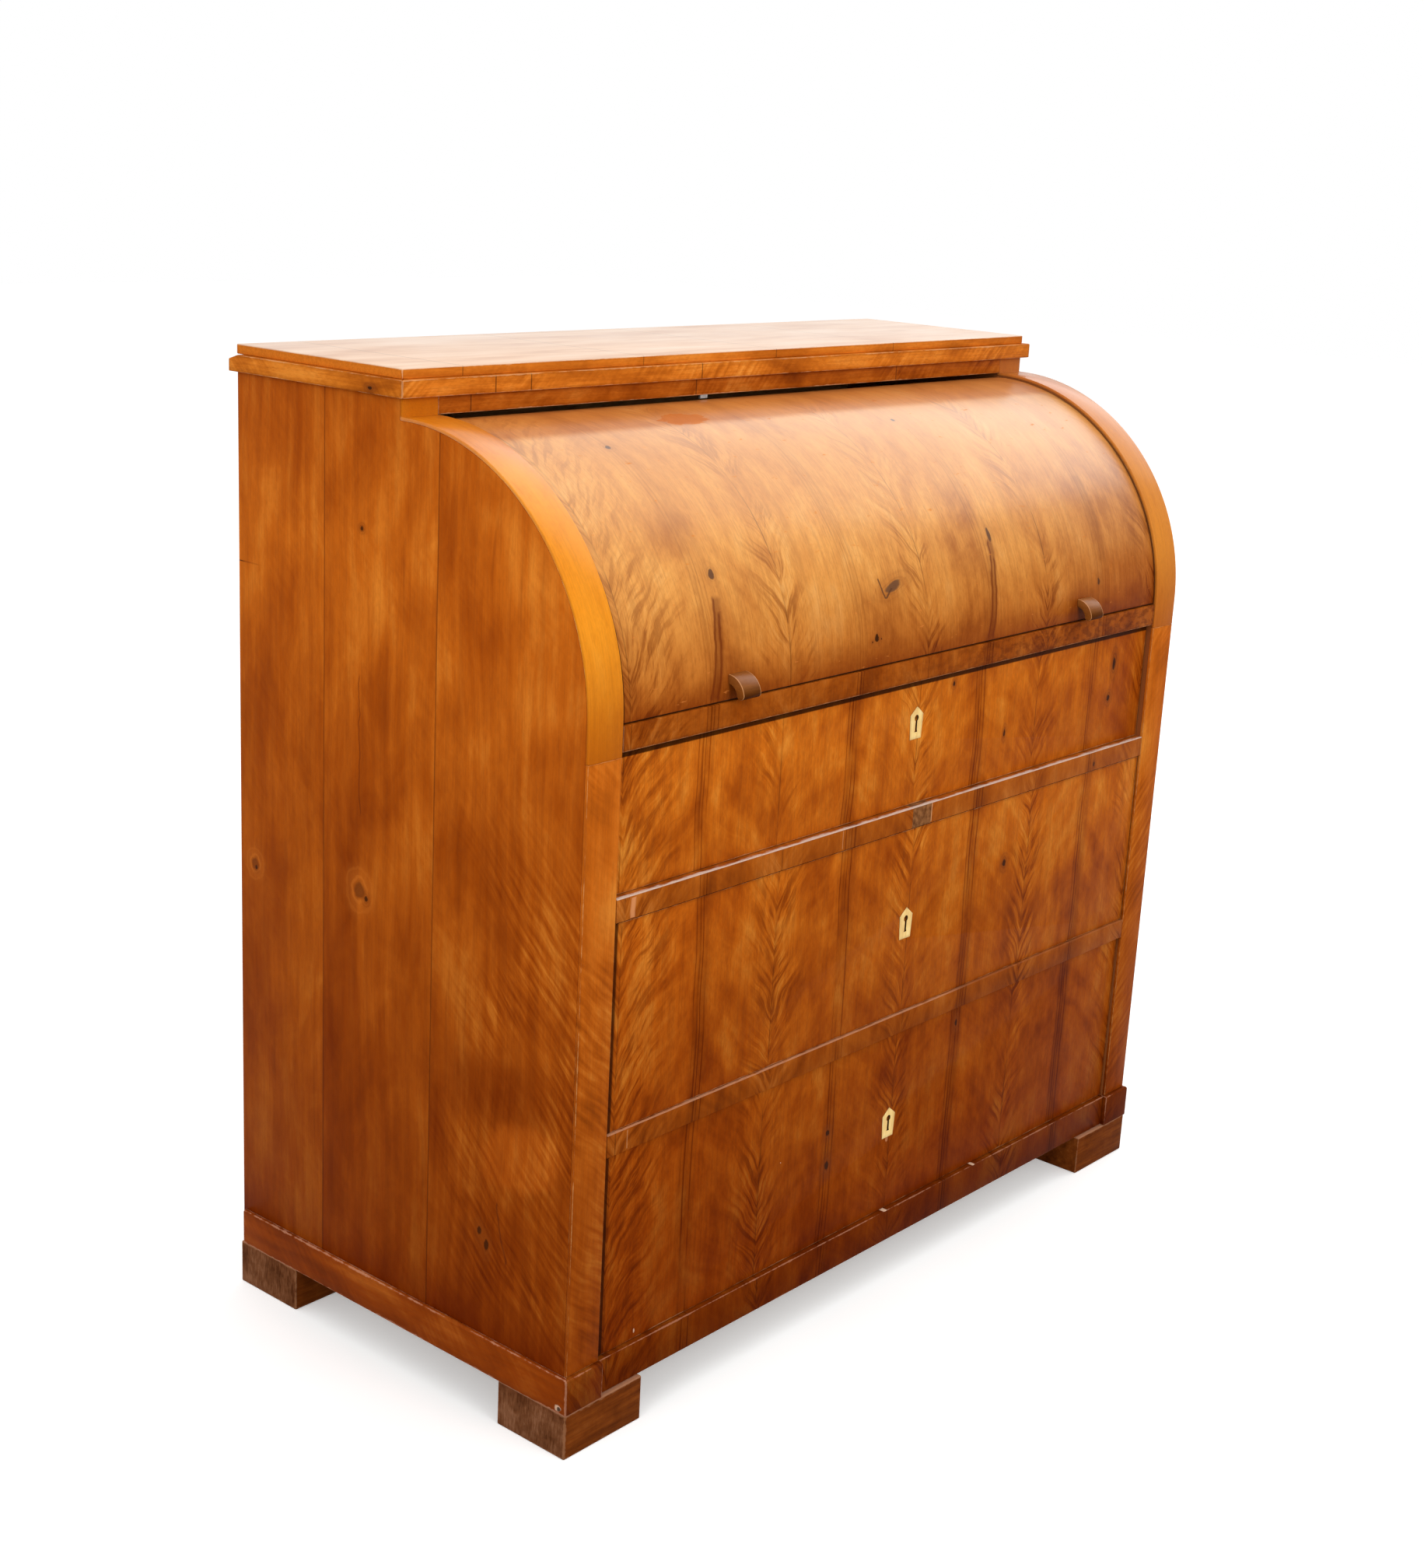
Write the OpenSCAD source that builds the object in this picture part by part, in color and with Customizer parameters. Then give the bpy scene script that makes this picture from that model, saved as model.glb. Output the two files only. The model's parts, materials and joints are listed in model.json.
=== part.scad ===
// Cylinder bureau: a desk with a quarter-round fall over a sliding writing
// board, and three long drawers below. Millimetres, +Z up, the drawers face -Y.
// The origin is on the floor, in the middle of the desk's width and depth.

/* [Carcass] */
// Width across the two gables
carcass_w = 1100; // [900:10:1300]
// Depth of the gables; half of it is the radius of their curved edge
carcass_d = 532; // [490:2:600]
// Thickness of each outer gable board
gable_t = 25; // [18:1:30]
// Width of the facing strips on the front edges of the gables
facing_w = 47.5; // [42:0.5:60]
// Thickness of the facing strips
facing_t = 4; // [3:0.5:6]
// Length of the straight end of each curved rim, below the start of its curve
rim_tail = 34; // [20:1:60]
// Thickness of the back panel
back_t = 10; // [8:1:14]
// Height of the rails between the drawers
rail_h = 25; // [18:1:35]
// Depth of the rails between the drawers, front to back
rail_d = 70; // [50:5:120]
// Thickness of the dust boards behind the rails
dust_board_t = 12; // [8:1:16]
// Thickness of the bottom board
bottom_board_t = 18; // [12:1:24]
// Thickness of the base rail, front to back
base_rail_t = 22; // [18:1:30]
// Slit between each end of a rail's face and the stile beside it
rail_end_slit = 0.8; // [0.4:0.1:1.5]

/* [Feet and plinth] */
// Height of the feet
foot_h = 52; // [35:1:80]
// Width of a foot along the front
foot_w = 117; // [90:1:140]
// Width of a foot along the side
foot_d = 100; // [80:1:130]
// How far the feet stand out past the gables
foot_out = 4; // [2:0.5:4.5]
// Height of the plinth band
plinth_h = 42; // [30:1:60]
// How far the plinth stands out past the gables
plinth_out = 5; // [5:0.5:10]
// How far the plinth strips stop short of the back
plinth_short = 5; // [2:1:12]
// Rounding of the plinth's upper edge
plinth_round = 2.5; // [1:0.5:4]

/* [Drawers] */
// Height of the bottom drawer's opening
bottom_drawer_h = 231.5; // [180:0.5:260]
// Height of the middle drawer's opening
middle_drawer_h = 229; // [180:0.5:260]
// Height of the top drawer's opening
top_drawer_h = 150; // [120:0.5:180]
// How far the bottom drawer's front lies behind the stiles
bottom_recess = 6; // [1:0.5:12]
// How far the middle drawer's front lies behind the stiles
middle_recess = 3; // [1:0.5:12]
// How far the top drawer's front lies behind the stiles
top_recess = 9.5; // [1:0.5:12]
// Thickness of the drawer fronts
drawer_front_t = 22; // [18:1:28]
// Thickness of the drawer sides and backs
drawer_side_t = 12; // [8:1:16]
// Thickness of the drawer bottoms
drawer_bottom_t = 6; // [4:1:10]
// Least room between a drawer's back and the back panel
drawer_room_back = 20.5; // [5:0.5:60]
// Gap above a drawer front
drawer_gap_top = 1.4; // [1:0.2:3]
// Gap below a drawer front
drawer_gap_bottom = 0.8; // [0.4:0.2:2]
// Gap at each end of a drawer front
drawer_gap_side = 1.2; // [0.6:0.2:2]
// Running gap under and beside the drawer sides
runner_gap = 0.3; // [0.2:0.1:0.6]
// Height of a drawer's bottom board above its runners
drawer_bottom_rise = 8; // [4:1:12]
// How far the middle and bottom drawers' sides end below their fronts' tops
drawer_side_drop = 10; // [4:1:30]

/* [Locks] */
// Width of an escutcheon
escutcheon_w = 25; // [20:1:34]
// Width of an escutcheon at its foot
escutcheon_foot_w = 21; // [16:1:30]
// Height of an escutcheon
escutcheon_h = 38.5; // [34:0.5:54]
// Height of an escutcheon's pointed top
escutcheon_point = 10; // [5:0.5:14]
// Depth to which an escutcheon is let in
escutcheon_t = 2; // [1.5:0.1:2.5]
// How far an escutcheon stands proud of the veneer
escutcheon_proud = 0.2; // [0:0.1:0.6]
// Radius of the round part of a keyhole
keyhole_r = 3.8; // [3:0.1:5]
// Width of the slot of a keyhole
keyhole_slot_w = 3.6; // [2.4:0.1:4.5]
// Depth of a keyhole's slot below the round part's centre
keyhole_slot_h = 16.5; // [14:0.5:20]
// Height of the top drawer's escutcheon above the rail below it
top_key_rise = 98; // [55:0.5:100]
// Height of the middle drawer's escutcheon above the rail below it
middle_key_rise = 112; // [80:0.5:120]
// Height of the bottom drawer's escutcheon above the bottom board
bottom_key_rise = 114.5; // [80:0.5:120]
// Width of a lock case
lock_w = 64; // [50:1:80]
// Height of a lock case
lock_h = 60; // [54:1:66]
// Thickness of a lock case
lock_t = 12; // [10:1:14]

/* [Writing slide] */
// Thickness of the writing slide
slide_t = 26.5; // [20:0.5:32]
// Room between the writing slide's back edge and the back panel
slide_room_back = 81; // [40:1:140]
// How far the slide's front edge lies behind the stiles
slide_recess = 1; // [0.5:0.5:4]
// Height of the bearers under the slide
bearer_h = 12.5; // [8:0.5:14]
// Width of the bearers under the slide
bearer_w = 22; // [14:1:30]

/* [Cylinder fall] */
// How far the fall's surface lies behind the curved rims
fall_recess = 3.3; // [2:0.1:6]
// Gap between the fall's lower edge and the writing slide
fall_gap = 1; // [0.5:0.5:3]
// Angle that the fall covers, from its lower edge over the top
fall_angle = 91; // [86:1:92]
// Thickness of the fall's curved shell
fall_t = 22; // [14:1:26]
// Thickness of the two ribs at the ends of the fall
rib_t = 13; // [8:1:18]
// Radius of the pivot stubs on the fall's ribs
stub_r = 5; // [4:0.5:8]
// Running clearance round a pivot stub
stub_clearance = 0.05; // [0.02:0.01:0.1]
// Length of a pivot stub outside its rib
stub_l = 18; // [14:1:20]
// Radius of the iron plate that carries a pivot stub
pivot_plate_r = 36; // [24:1:50]
// Thickness of that plate
pivot_plate_t = 2.5; // [1.5:0.5:4]

/* [Handles] */
// Width of a handle
handle_w = 28; // [20:1:40]
// Distance between the middles of the two handles
handle_spacing = 660; // [400:10:800]
// Outer radius of a handle's curved lip
handle_r = 22.5; // [18:0.5:26]
// Thickness of a handle's lip
handle_t = 9.5; // [8:0.5:14]
// Height of the lip's centre of curvature above the fall's lower edge
handle_rise = 5; // [3:0.5:10]

/* [Cornice and top] */
// Height of the frieze rail
frieze_h = 19; // [14:1:40]
// Thickness of the frieze rail
frieze_t = 22; // [16:1:30]
// How far the frieze stands behind the end of the gables' curve
frieze_set_back = 4; // [2:0.5:10]
// Height of the cornice moulding
cornice_h = 18; // [12:1:30]
// How far the cornice stands out in front of the frieze and past the gables
cornice_out = 8; // [5:0.5:14]
// Width of the cornice moulding
cornice_w = 25; // [18:1:30]
// How far the side mouldings reach past the back
cornice_back = 5; // [0:0.5:8]
// Length of the chamfer on the back end of a side moulding
cornice_chamfer = 15; // [6:1:24]
// Thickness of the top's veneered edge above the cornice
slab_t = 10.5; // [8:0.5:20]
// How far the top's edge stands out past the gables
slab_out = 1; // [0:0.5:4]
// Width of the stop tab under the frieze
stop_w = 12; // [8:1:16]
// Height of the stop tab
stop_h = 4; // [3:0.5:4.5]
// Distance of the stop tab from the middle of the desk
stop_offset = 95; // [60:5:140]

/* [Pigeonhole nest] */
// Height of the nest over its base board
nest_h = 142; // [100:1:170]
// Thickness of the nest's boards
nest_board_t = 8; // [6:1:12]
// Thickness of the nest's back
nest_back_t = 4; // [3:1:6]
// Distance of the nest's front edge in front of the fall's pivot
nest_forward = 16; // [0:1:40]
// Number of pigeonholes side by side
pigeonholes = 4; // [3:1:6]
// Gap between the nest and what moves past it
nest_gap = 2.5; // [2:0.5:5]

/* [Hidden] */
$fn = 96;

// A little extra length for cuts, so that they pass right through
past = 1;
// Clearance of pieces that are let into others
let_in = 0.15;

// Heights from the floor up
bottom_z = foot_h + plinth_h;
rail_lower_z = bottom_z + bottom_drawer_h;
middle_z = rail_lower_z + rail_h;
rail_upper_z = middle_z + middle_drawer_h;
top_z = rail_upper_z + rail_h;
slide_z = top_z + top_drawer_h;
desk_z = slide_z + slide_t;
pivot_z = desk_z + fall_gap;

// The gables' curved edge is a quarter circle, a little above the pivot so that
// the gap over the fall is wider at the top than at the front
curve_r = carcass_d / 2;
curve_lift = 2;
curve_z = pivot_z + curve_lift;
curve_top_z = curve_z + curve_r;
cornice_z = curve_top_z + frieze_h;
slab_z = cornice_z + cornice_h;
top_of_desk_z = slab_z + slab_t;

// Depths are first counted from the front of the stiles and then moved, so that
// the middle of the desk's depth, handles and cornice ends included, is at zero
pivot_y = curve_r;
back_y = carcass_d - back_t;
drawer_box_d = back_y - drawer_room_back - drawer_front_t
    - max(top_recess, middle_recess, bottom_recess);
slide_d = back_y - slide_room_back - slide_recess;
frieze_y = curve_r + frieze_set_back;
cornice_y = frieze_y - cornice_out;
handle_y = fall_recess + 1.7;
handle_tip_angle = 10;
handle_mid_r = handle_r - handle_t / 2;
handle_reach = handle_mid_r * cos(handle_tip_angle) + handle_t / 2 - handle_y;
front_y = (handle_reach - carcass_d - cornice_back) / 2;

// Widths
half_w = carcass_w / 2;
inner_half = half_w - facing_w;
lining_t = facing_w - gable_t;
fall_r = curve_r - fall_recess;
fall_inner_r = fall_r - fall_t;
block_half = inner_half - 2.5;
fall_half = inner_half - drawer_gap_side;
nest_half = fall_half - rib_t - nest_gap;
nest_reach = fall_inner_r - nest_gap;
nest_top_z = desk_z + fall_gap + nest_board_t + nest_h;
nest_back_y = pivot_y + sqrt(pow(nest_reach, 2) - pow(nest_top_z - pivot_z, 2));
nest_front_y = pivot_y - nest_forward;

// Each drawer: height of its floor, height of its opening, set-back of its
// front, height of its keyhole over the floor, height of its sides
TOP = [top_z, top_drawer_h, top_recess, top_key_rise,
    top_drawer_h - bearer_h - 2 * drawer_gap_top];
MIDDLE = [middle_z, middle_drawer_h, middle_recess, middle_key_rise,
    middle_drawer_h - drawer_side_drop];
BOTTOM = [bottom_z, bottom_drawer_h, bottom_recess, bottom_key_rise,
    bottom_drawer_h - drawer_side_drop];

VENEER = [0.78, 0.45, 0.16];
SIDE_VENEER = [0.68, 0.36, 0.12];
PINE = [0.80, 0.66, 0.44];
FOOT_BROWN = [0.30, 0.17, 0.10];
HANDLE_BROWN = [0.42, 0.25, 0.13];
BONE = [0.93, 0.83, 0.58];
IRON = [0.36, 0.35, 0.34];

// Moves the pieces from the stiles' front plane to the desk's own frame
module placed() {
    translate([0, front_y, 0]) children();
}

// A box between two corners
module box(low, high) {
    translate(low) cube(high - low);
}

// One side's piece, mirrored for the left
module on_side(side) {
    if (side < 0) mirror([1, 0, 0]) children();
    else children();
}

// An extrusion along X, centred, of an outline given in Y and Z
module along_x(width) {
    rotate([90, 0, 90]) linear_extrude(width, center = true) children();
}

// A round bar along X, from x0 to x1
module bar_x(r, x0, x1, y, z) {
    translate([x0, y, z]) rotate([0, 90, 0]) cylinder(r = r, h = x1 - x0);
}

// A fan-shaped outline in Y and Z, with its angles counted from the front
function fan(r, from, to, y, z, steps = 12) = concat(
    [[y, z]],
    [for (i = [0 : steps])
        let (a = from + (to - from) * i / steps)
        [y - 2 * r * cos(a), z + 2 * r * sin(a)]]
);

// The gables' side outline as a solid, set in from the finished edge
module gable_form(x0, x1, inset, back) {
    difference() {
        box([x0, inset, foot_h], [x1, back, cornice_z]);
        difference() {
            box([x0 - past, inset - past, curve_z],
                [x1 + past, curve_r, cornice_z + past]);
            bar_x(curve_r - inset, x0 - 2 * past, x1 + 2 * past, curve_r, curve_z);
        }
        box([x0 - past, curve_r - past, curve_top_z - inset],
            [x1 + past, frieze_y + inset, cornice_z + past]);
    }
}

module gable(side) {
    color(SIDE_VENEER) placed() on_side(side)
        gable_form(half_w - gable_t, half_w, facing_t, carcass_d);
}

// Inner board of a gable, with the bearing hole for the fall's pivot
module lining(side) {
    color(PINE) placed() on_side(side) difference() {
        gable_form(inner_half, inner_half + lining_t, facing_t, back_y);
        bar_x(stub_r + stub_clearance, inner_half - past, inner_half + stub_l + past,
            pivot_y, pivot_z);
    }
}

// Curved facing of a gable, with its straight tail and its head at the frieze
module rim(side) {
    color(VENEER) placed() on_side(side) difference() {
        gable_form(inner_half, half_w, 0, frieze_y + facing_t);
        gable_form(inner_half - past, half_w + past, facing_t, back_y);
        box([inner_half - past, -past, 0], [half_w + past, carcass_d, curve_z - rim_tail]);
    }
}

// Straight facing of a gable
module stile(side) {
    color(VENEER) placed() on_side(side)
        box([inner_half, 0, bottom_z + let_in], [half_w, facing_t, curve_z - rim_tail]);
}

// A rail between the stiles, whose face stops just short of them
module rail(z0, z1, depth, face_half) {
    color(VENEER) placed() {
        box([-face_half, 0, z0], [face_half, facing_t, z1]);
        box([-inner_half, facing_t, z0], [inner_half, depth, z1]);
    }
}

module rail_upper() {
    rail(rail_upper_z, top_z, rail_d, inner_half - rail_end_slit);
}

module rail_lower() {
    rail(rail_lower_z, middle_z, rail_d, inner_half - rail_end_slit);
}

module base_rail() {
    rail(foot_h + past, bottom_z - let_in, base_rail_t, block_half);
}

// Takes the sharp upper edge off the plinth, along the front or the side
module plinth_edge(length, along_side) {
    r = plinth_round;
    if (along_side)
        rotate([90, 0, 0]) linear_extrude(2 * length, center = true)
            polygon([[0, -r], [1, -r], [1, 1], [-r, 1], [-r, 0], [-r * 0.3, -r * 0.3]]);
    else
        rotate([90, 0, 90]) linear_extrude(2 * length, center = true)
            polygon([[0, -r], [-1, -r], [-1, 1], [r, 1], [r, 0], [r * 0.3, -r * 0.3]]);
}

module corner_block(side) {
    color(VENEER) placed() on_side(side) difference() {
        translate([0, 0, foot_h]) linear_extrude(plinth_h)
            polygon([
                [half_w + plinth_out, -plinth_out],
                [block_half, -plinth_out],
                [block_half, facing_t],
                [half_w, facing_t],
                [half_w, 0]
            ]);
        translate([half_w, -plinth_out, bottom_z]) plinth_edge(foot_w, false);
        translate([half_w + plinth_out, 0, bottom_z]) plinth_edge(foot_w, true);
    }
}

module plinth(side) {
    color(SIDE_VENEER) placed() on_side(side) difference() {
        translate([0, 0, foot_h]) linear_extrude(plinth_h)
            polygon([
                [half_w + plinth_out, -plinth_out],
                [half_w, 0],
                [half_w, carcass_d - plinth_short],
                [half_w + plinth_out, carcass_d - plinth_short]
            ]);
        translate([half_w, -plinth_out, bottom_z]) plinth_edge(foot_w, false);
        translate([half_w + plinth_out, 0, bottom_z]) plinth_edge(2 * carcass_d, true);
    }
}

module foot(side, y) {
    color(FOOT_BROWN) placed() on_side(side)
        box([half_w + foot_out - foot_w, y, 0], [half_w + foot_out, y + foot_d, foot_h]);
}

module bottom_board() {
    color(PINE) placed()
        box([-inner_half, base_rail_t, bottom_z - bottom_board_t],
            [inner_half, back_y, bottom_z]);
}

module dust_board(z) {
    color(PINE) placed()
        box([-inner_half, rail_d, z - dust_board_t], [inner_half, back_y, z]);
}

module back_panel() {
    color(PINE) placed()
        box([gable_t - half_w, back_y, foot_h], [half_w - gable_t, carcass_d, cornice_z]);
}

module sub_top() {
    color(PINE) placed()
        box([-inner_half, frieze_y + frieze_t, curve_top_z],
            [inner_half, back_y, cornice_z]);
}

module frieze() {
    color(VENEER) placed()
        box([-inner_half, frieze_y, curve_top_z],
            [inner_half, frieze_y + frieze_t, cornice_z]);
}

module cornice_front() {
    outer = half_w + cornice_out;
    color(VENEER) placed() translate([0, cornice_y, cornice_z]) linear_extrude(cornice_h)
        polygon([
            [-outer, 0],
            [outer, 0],
            [outer - cornice_w, cornice_w],
            [cornice_w - outer, cornice_w]
        ]);
}

// Side moulding, mitred at the front, its back end chamfered on top
module cornice_side(side) {
    outer = half_w + cornice_out;
    end_y = carcass_d + cornice_back;
    color(SIDE_VENEER) placed() on_side(side) difference() {
        translate([0, 0, cornice_z]) linear_extrude(cornice_h)
            polygon([
                [outer, cornice_y],
                [outer, end_y],
                [outer - cornice_w, end_y],
                [outer - cornice_w, cornice_y + cornice_w]
            ]);
        translate([outer, 0, 0]) along_x(3 * cornice_w)
            polygon([
                [end_y - cornice_chamfer, slab_z + past],
                [end_y - cornice_chamfer, slab_z],
                [end_y, slab_z - cornice_chamfer / 3],
                [end_y + past, slab_z + past]
            ]);
    }
}

// Top board: a core inside the cornice and the veneered edge above it
module top_slab() {
    core_half = half_w + cornice_out - cornice_w;
    color(VENEER) placed() {
        box([-core_half, cornice_y + cornice_w, cornice_z], [core_half, carcass_d, slab_z]);
        box([-half_w - slab_out, frieze_y, slab_z],
            [half_w + slab_out, carcass_d, top_of_desk_z]);
    }
}

module fall_stop() {
    color(IRON) placed() translate([-stop_offset, frieze_y, curve_top_z - stop_h])
        translate([-stop_w / 2, 1, 0]) cube([stop_w, 3, stop_h]);
}

module slide_bearers() {
    start_y = slide_recess + 2 * drawer_front_t;
    color(PINE) placed() for (side = [-1, 1]) on_side(side)
        box([inner_half - bearer_w, start_y, slide_z - bearer_h],
            [inner_half, back_y, slide_z]);
}

// Base of the nest; its back part reaches the linings, clear of the ribs' swing
module nest_base() {
    z0 = desk_z + fall_gap;
    wing_y = pivot_y + nest_reach * 0.35;
    color(VENEER) placed() {
        box([-nest_half, nest_front_y, z0], [nest_half, back_y, z0 + nest_board_t]);
        box([-inner_half, wing_y, z0], [inner_half, back_y, z0 + nest_board_t]);
    }
}

module nest_uprights() {
    z0 = desk_z + fall_gap + nest_board_t;
    pitch = (2 * nest_half - nest_board_t) / pigeonholes;
    color(VENEER) placed() for (i = [0 : pigeonholes])
        translate([-nest_half + i * pitch, nest_front_y, z0])
            cube([nest_board_t, nest_back_y - nest_back_t - nest_front_y,
                nest_h - nest_board_t]);
}

module nest_top() {
    color(VENEER) placed()
        box([-nest_half, nest_front_y, nest_top_z - nest_board_t],
            [nest_half, nest_back_y - nest_back_t, nest_top_z]);
}

module nest_back() {
    color(PINE) placed()
        box([-nest_half, nest_back_y - nest_back_t, desk_z + fall_gap + nest_board_t],
            [nest_half, nest_back_y, nest_top_z]);
}

module fall_shell() {
    color(VENEER) placed() intersection() {
        difference() {
            bar_x(fall_r, -fall_half, fall_half, pivot_y, pivot_z);
            bar_x(fall_inner_r, -fall_half - past, fall_half + past, pivot_y, pivot_z);
        }
        along_x(2 * fall_half + 4 * past) polygon(fan(fall_r, 0, fall_angle, pivot_y, pivot_z));
    }
}

// End board of the fall, a sector round the pivot with the pivot plate let in
module fall_rib(side) {
    color(VENEER) placed() on_side(side) difference() {
        intersection() {
            bar_x(fall_inner_r - let_in, fall_half - rib_t, fall_half, pivot_y, pivot_z);
            along_x(2 * half_w) polygon(fan(fall_r, 0, fall_angle, pivot_y, pivot_z));
        }
        bar_x(pivot_plate_r + let_in, fall_half - pivot_plate_t, fall_half + past,
            pivot_y, pivot_z);
    }
}

// Iron plates on the ribs, each with the stub that turns in the lining
module fall_pivots() {
    color(IRON) placed() for (side = [-1, 1]) on_side(side) {
        intersection() {
            bar_x(pivot_plate_r, fall_half - pivot_plate_t, fall_half, pivot_y, pivot_z);
            along_x(2 * half_w) polygon(fan(fall_r, 0, fall_angle, pivot_y, pivot_z));
        }
        bar_x(stub_r, fall_half, fall_half + stub_l, pivot_y, pivot_z);
    }
}

// Hooked handle: a quarter ring that curls down to a round tip
module handle(side) {
    cy = handle_y;
    cz = pivot_z + handle_rise;
    x0 = handle_spacing / 2 - handle_w / 2;
    x1 = handle_spacing / 2 + handle_w / 2;
    color(HANDLE_BROWN) placed() on_side(side) difference() {
        union() {
            intersection() {
                difference() {
                    bar_x(handle_r, x0, x1, cy, cz);
                    bar_x(handle_r - handle_t, x0 - past, x1 + past, cy, cz);
                }
                along_x(2 * half_w) polygon(fan(handle_r, handle_tip_angle, 90, cy, cz, 4));
            }
            bar_x(handle_t / 2, x0, x1, cy - handle_mid_r * cos(handle_tip_angle),
                cz + handle_mid_r * sin(handle_tip_angle));
        }
        bar_x(fall_r + let_in / 2, x0 - past, x1 + past, pivot_y, pivot_z);
    }
}

module writing_slide() {
    slide_half = inner_half - drawer_gap_side - let_in;
    color(VENEER) placed()
        box([-slide_half, slide_recess, slide_z], [slide_half, slide_recess + slide_d, desk_z]);
}

// Outline of an escutcheon about its middle, in X and Z
module escutcheon_outline(grow = 0) {
    w = escutcheon_w / 2 + grow;
    foot = escutcheon_foot_w / 2 + grow;
    h = escutcheon_h / 2 + grow;
    polygon([
        [-foot, -h],
        [foot, -h],
        [w, h - escutcheon_point],
        [0, h],
        [-w, h - escutcheon_point]
    ]);
}

// Keyhole cut along Y, from the front, about the escutcheon's middle
module keyhole(depth) {
    head_z = escutcheon_h / 2 - escutcheon_point - keyhole_r;
    foot_half = keyhole_slot_w * 0.75;
    slot_half = keyhole_slot_w / 2;
    rotate([90, 0, 0]) linear_extrude(2 * depth, center = true) polygon([
        [-slot_half, head_z],
        [-slot_half, head_z - keyhole_slot_h + 3],
        [-foot_half, head_z - keyhole_slot_h],
        [foot_half, head_z - keyhole_slot_h],
        [slot_half, head_z - keyhole_slot_h + 3],
        [slot_half, head_z]
    ]);
    translate([0, 0, head_z]) rotate([90, 0, 0])
        cylinder(r = keyhole_r, h = 2 * depth, center = true);
}

// A drawer's veneered front, with the escutcheon's bed, the keyhole and the
// pocket for the lock
module drawer_front(d) {
    low = d[0] + drawer_gap_bottom;
    high = d[0] + d[1] - drawer_gap_top;
    key_z = d[0] + d[3];
    color(VENEER) placed() difference() {
        box([-fall_half, d[2], low], [fall_half, d[2] + drawer_front_t, high]);
        translate([0, d[2] + escutcheon_t, key_z]) rotate([90, 0, 0])
            linear_extrude(2 * escutcheon_t) escutcheon_outline(let_in);
        translate([0, d[2], key_z]) keyhole(drawer_front_t);
        box([-lock_w / 2 - let_in, d[2] + drawer_front_t - lock_t, key_z - lock_h / 2 - let_in],
            [lock_w / 2 + let_in, d[2] + drawer_front_t + past, key_z + lock_h / 2 + let_in]);
        box([-lock_w / 8 - let_in, d[2] + drawer_front_t - lock_t, key_z],
            [lock_w / 8 + let_in, d[2] + drawer_front_t + past, high + past]);
    }
}

module drawer_escutcheon(d) {
    color(BONE) placed() translate([0, d[2] + escutcheon_t, d[0] + d[3]]) difference() {
        rotate([90, 0, 0]) linear_extrude(escutcheon_t + escutcheon_proud)
            escutcheon_outline();
        keyhole(3 * escutcheon_t);
    }
}

// Lock case with its bolt, drawn back level with the drawer front's top
module drawer_lock(d) {
    back = d[2] + drawer_front_t;
    key_z = d[0] + d[3];
    color(IRON) placed() {
        box([-lock_w / 2, back - lock_t + let_in, key_z - lock_h / 2],
            [lock_w / 2, back, key_z + lock_h / 2]);
        box([-lock_w / 8, back - lock_t + let_in, key_z],
            [lock_w / 8, back - lock_t / 3, d[0] + d[1] - drawer_gap_top - let_in]);
    }
}

module drawer_sides(d) {
    start_y = d[2] + drawer_front_t;
    outer = inner_half - drawer_gap_side - runner_gap;
    color(PINE) placed() for (side = [-1, 1]) on_side(side)
        box([outer - drawer_side_t, start_y, d[0] + runner_gap],
            [outer, start_y + drawer_box_d, d[0] + d[4]]);
}

module drawer_back(d) {
    end_y = d[2] + drawer_front_t + drawer_box_d;
    inner = inner_half - drawer_gap_side - runner_gap - drawer_side_t;
    low = d[0] + drawer_bottom_rise + drawer_bottom_t;
    color(PINE) placed()
        box([-inner, end_y - drawer_side_t, low], [inner, end_y, d[0] + d[4]]);
}

module drawer_bottom(d) {
    start_y = d[2] + drawer_front_t;
    inner = inner_half - drawer_gap_side - runner_gap - drawer_side_t;
    color(PINE) placed()
        box([-inner, start_y, d[0] + drawer_bottom_rise],
            [inner, start_y + drawer_box_d, d[0] + drawer_bottom_rise + drawer_bottom_t]);
}

gable(-1);  // gable_left
gable(1);  // gable_right
lining(-1);  // lining_left
lining(1);  // lining_right
rim(-1);  // rim_left
rim(1);  // rim_right
stile(-1);  // stile_left
stile(1);  // stile_right
rail_upper();
rail_lower();
base_rail();
corner_block(-1);  // corner_block_left
corner_block(1);  // corner_block_right
plinth(-1);  // plinth_left
plinth(1);  // plinth_right
foot(-1, -foot_out);  // foot_front_left
foot(1, -foot_out);  // foot_front_right
foot(-1, carcass_d - foot_d);  // foot_rear_left
foot(1, carcass_d - foot_d);  // foot_rear_right
bottom_board();
dust_board(top_z);  // dust_board_upper
dust_board(middle_z);  // dust_board_lower
back_panel();
sub_top();
frieze();
cornice_front();
cornice_side(-1);  // cornice_left
cornice_side(1);  // cornice_right
top_slab();
fall_stop();
slide_bearers();
nest_base();
nest_uprights();
nest_top();
nest_back();
fall_shell();
fall_rib(-1);  // fall_rib_left
fall_rib(1);  // fall_rib_right
fall_pivots();
handle(-1);  // handle_left
handle(1);  // handle_right
writing_slide();
drawer_front(TOP);  // top_drawer_front
drawer_sides(TOP);  // top_drawer_sides
drawer_back(TOP);  // top_drawer_back
drawer_bottom(TOP);  // top_drawer_bottom
drawer_escutcheon(TOP);  // top_drawer_escutcheon
drawer_lock(TOP);  // top_drawer_lock
drawer_front(MIDDLE);  // middle_drawer_front
drawer_sides(MIDDLE);  // middle_drawer_sides
drawer_back(MIDDLE);  // middle_drawer_back
drawer_bottom(MIDDLE);  // middle_drawer_bottom
drawer_escutcheon(MIDDLE);  // middle_drawer_escutcheon
drawer_lock(MIDDLE);  // middle_drawer_lock
drawer_front(BOTTOM);  // bottom_drawer_front
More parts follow.
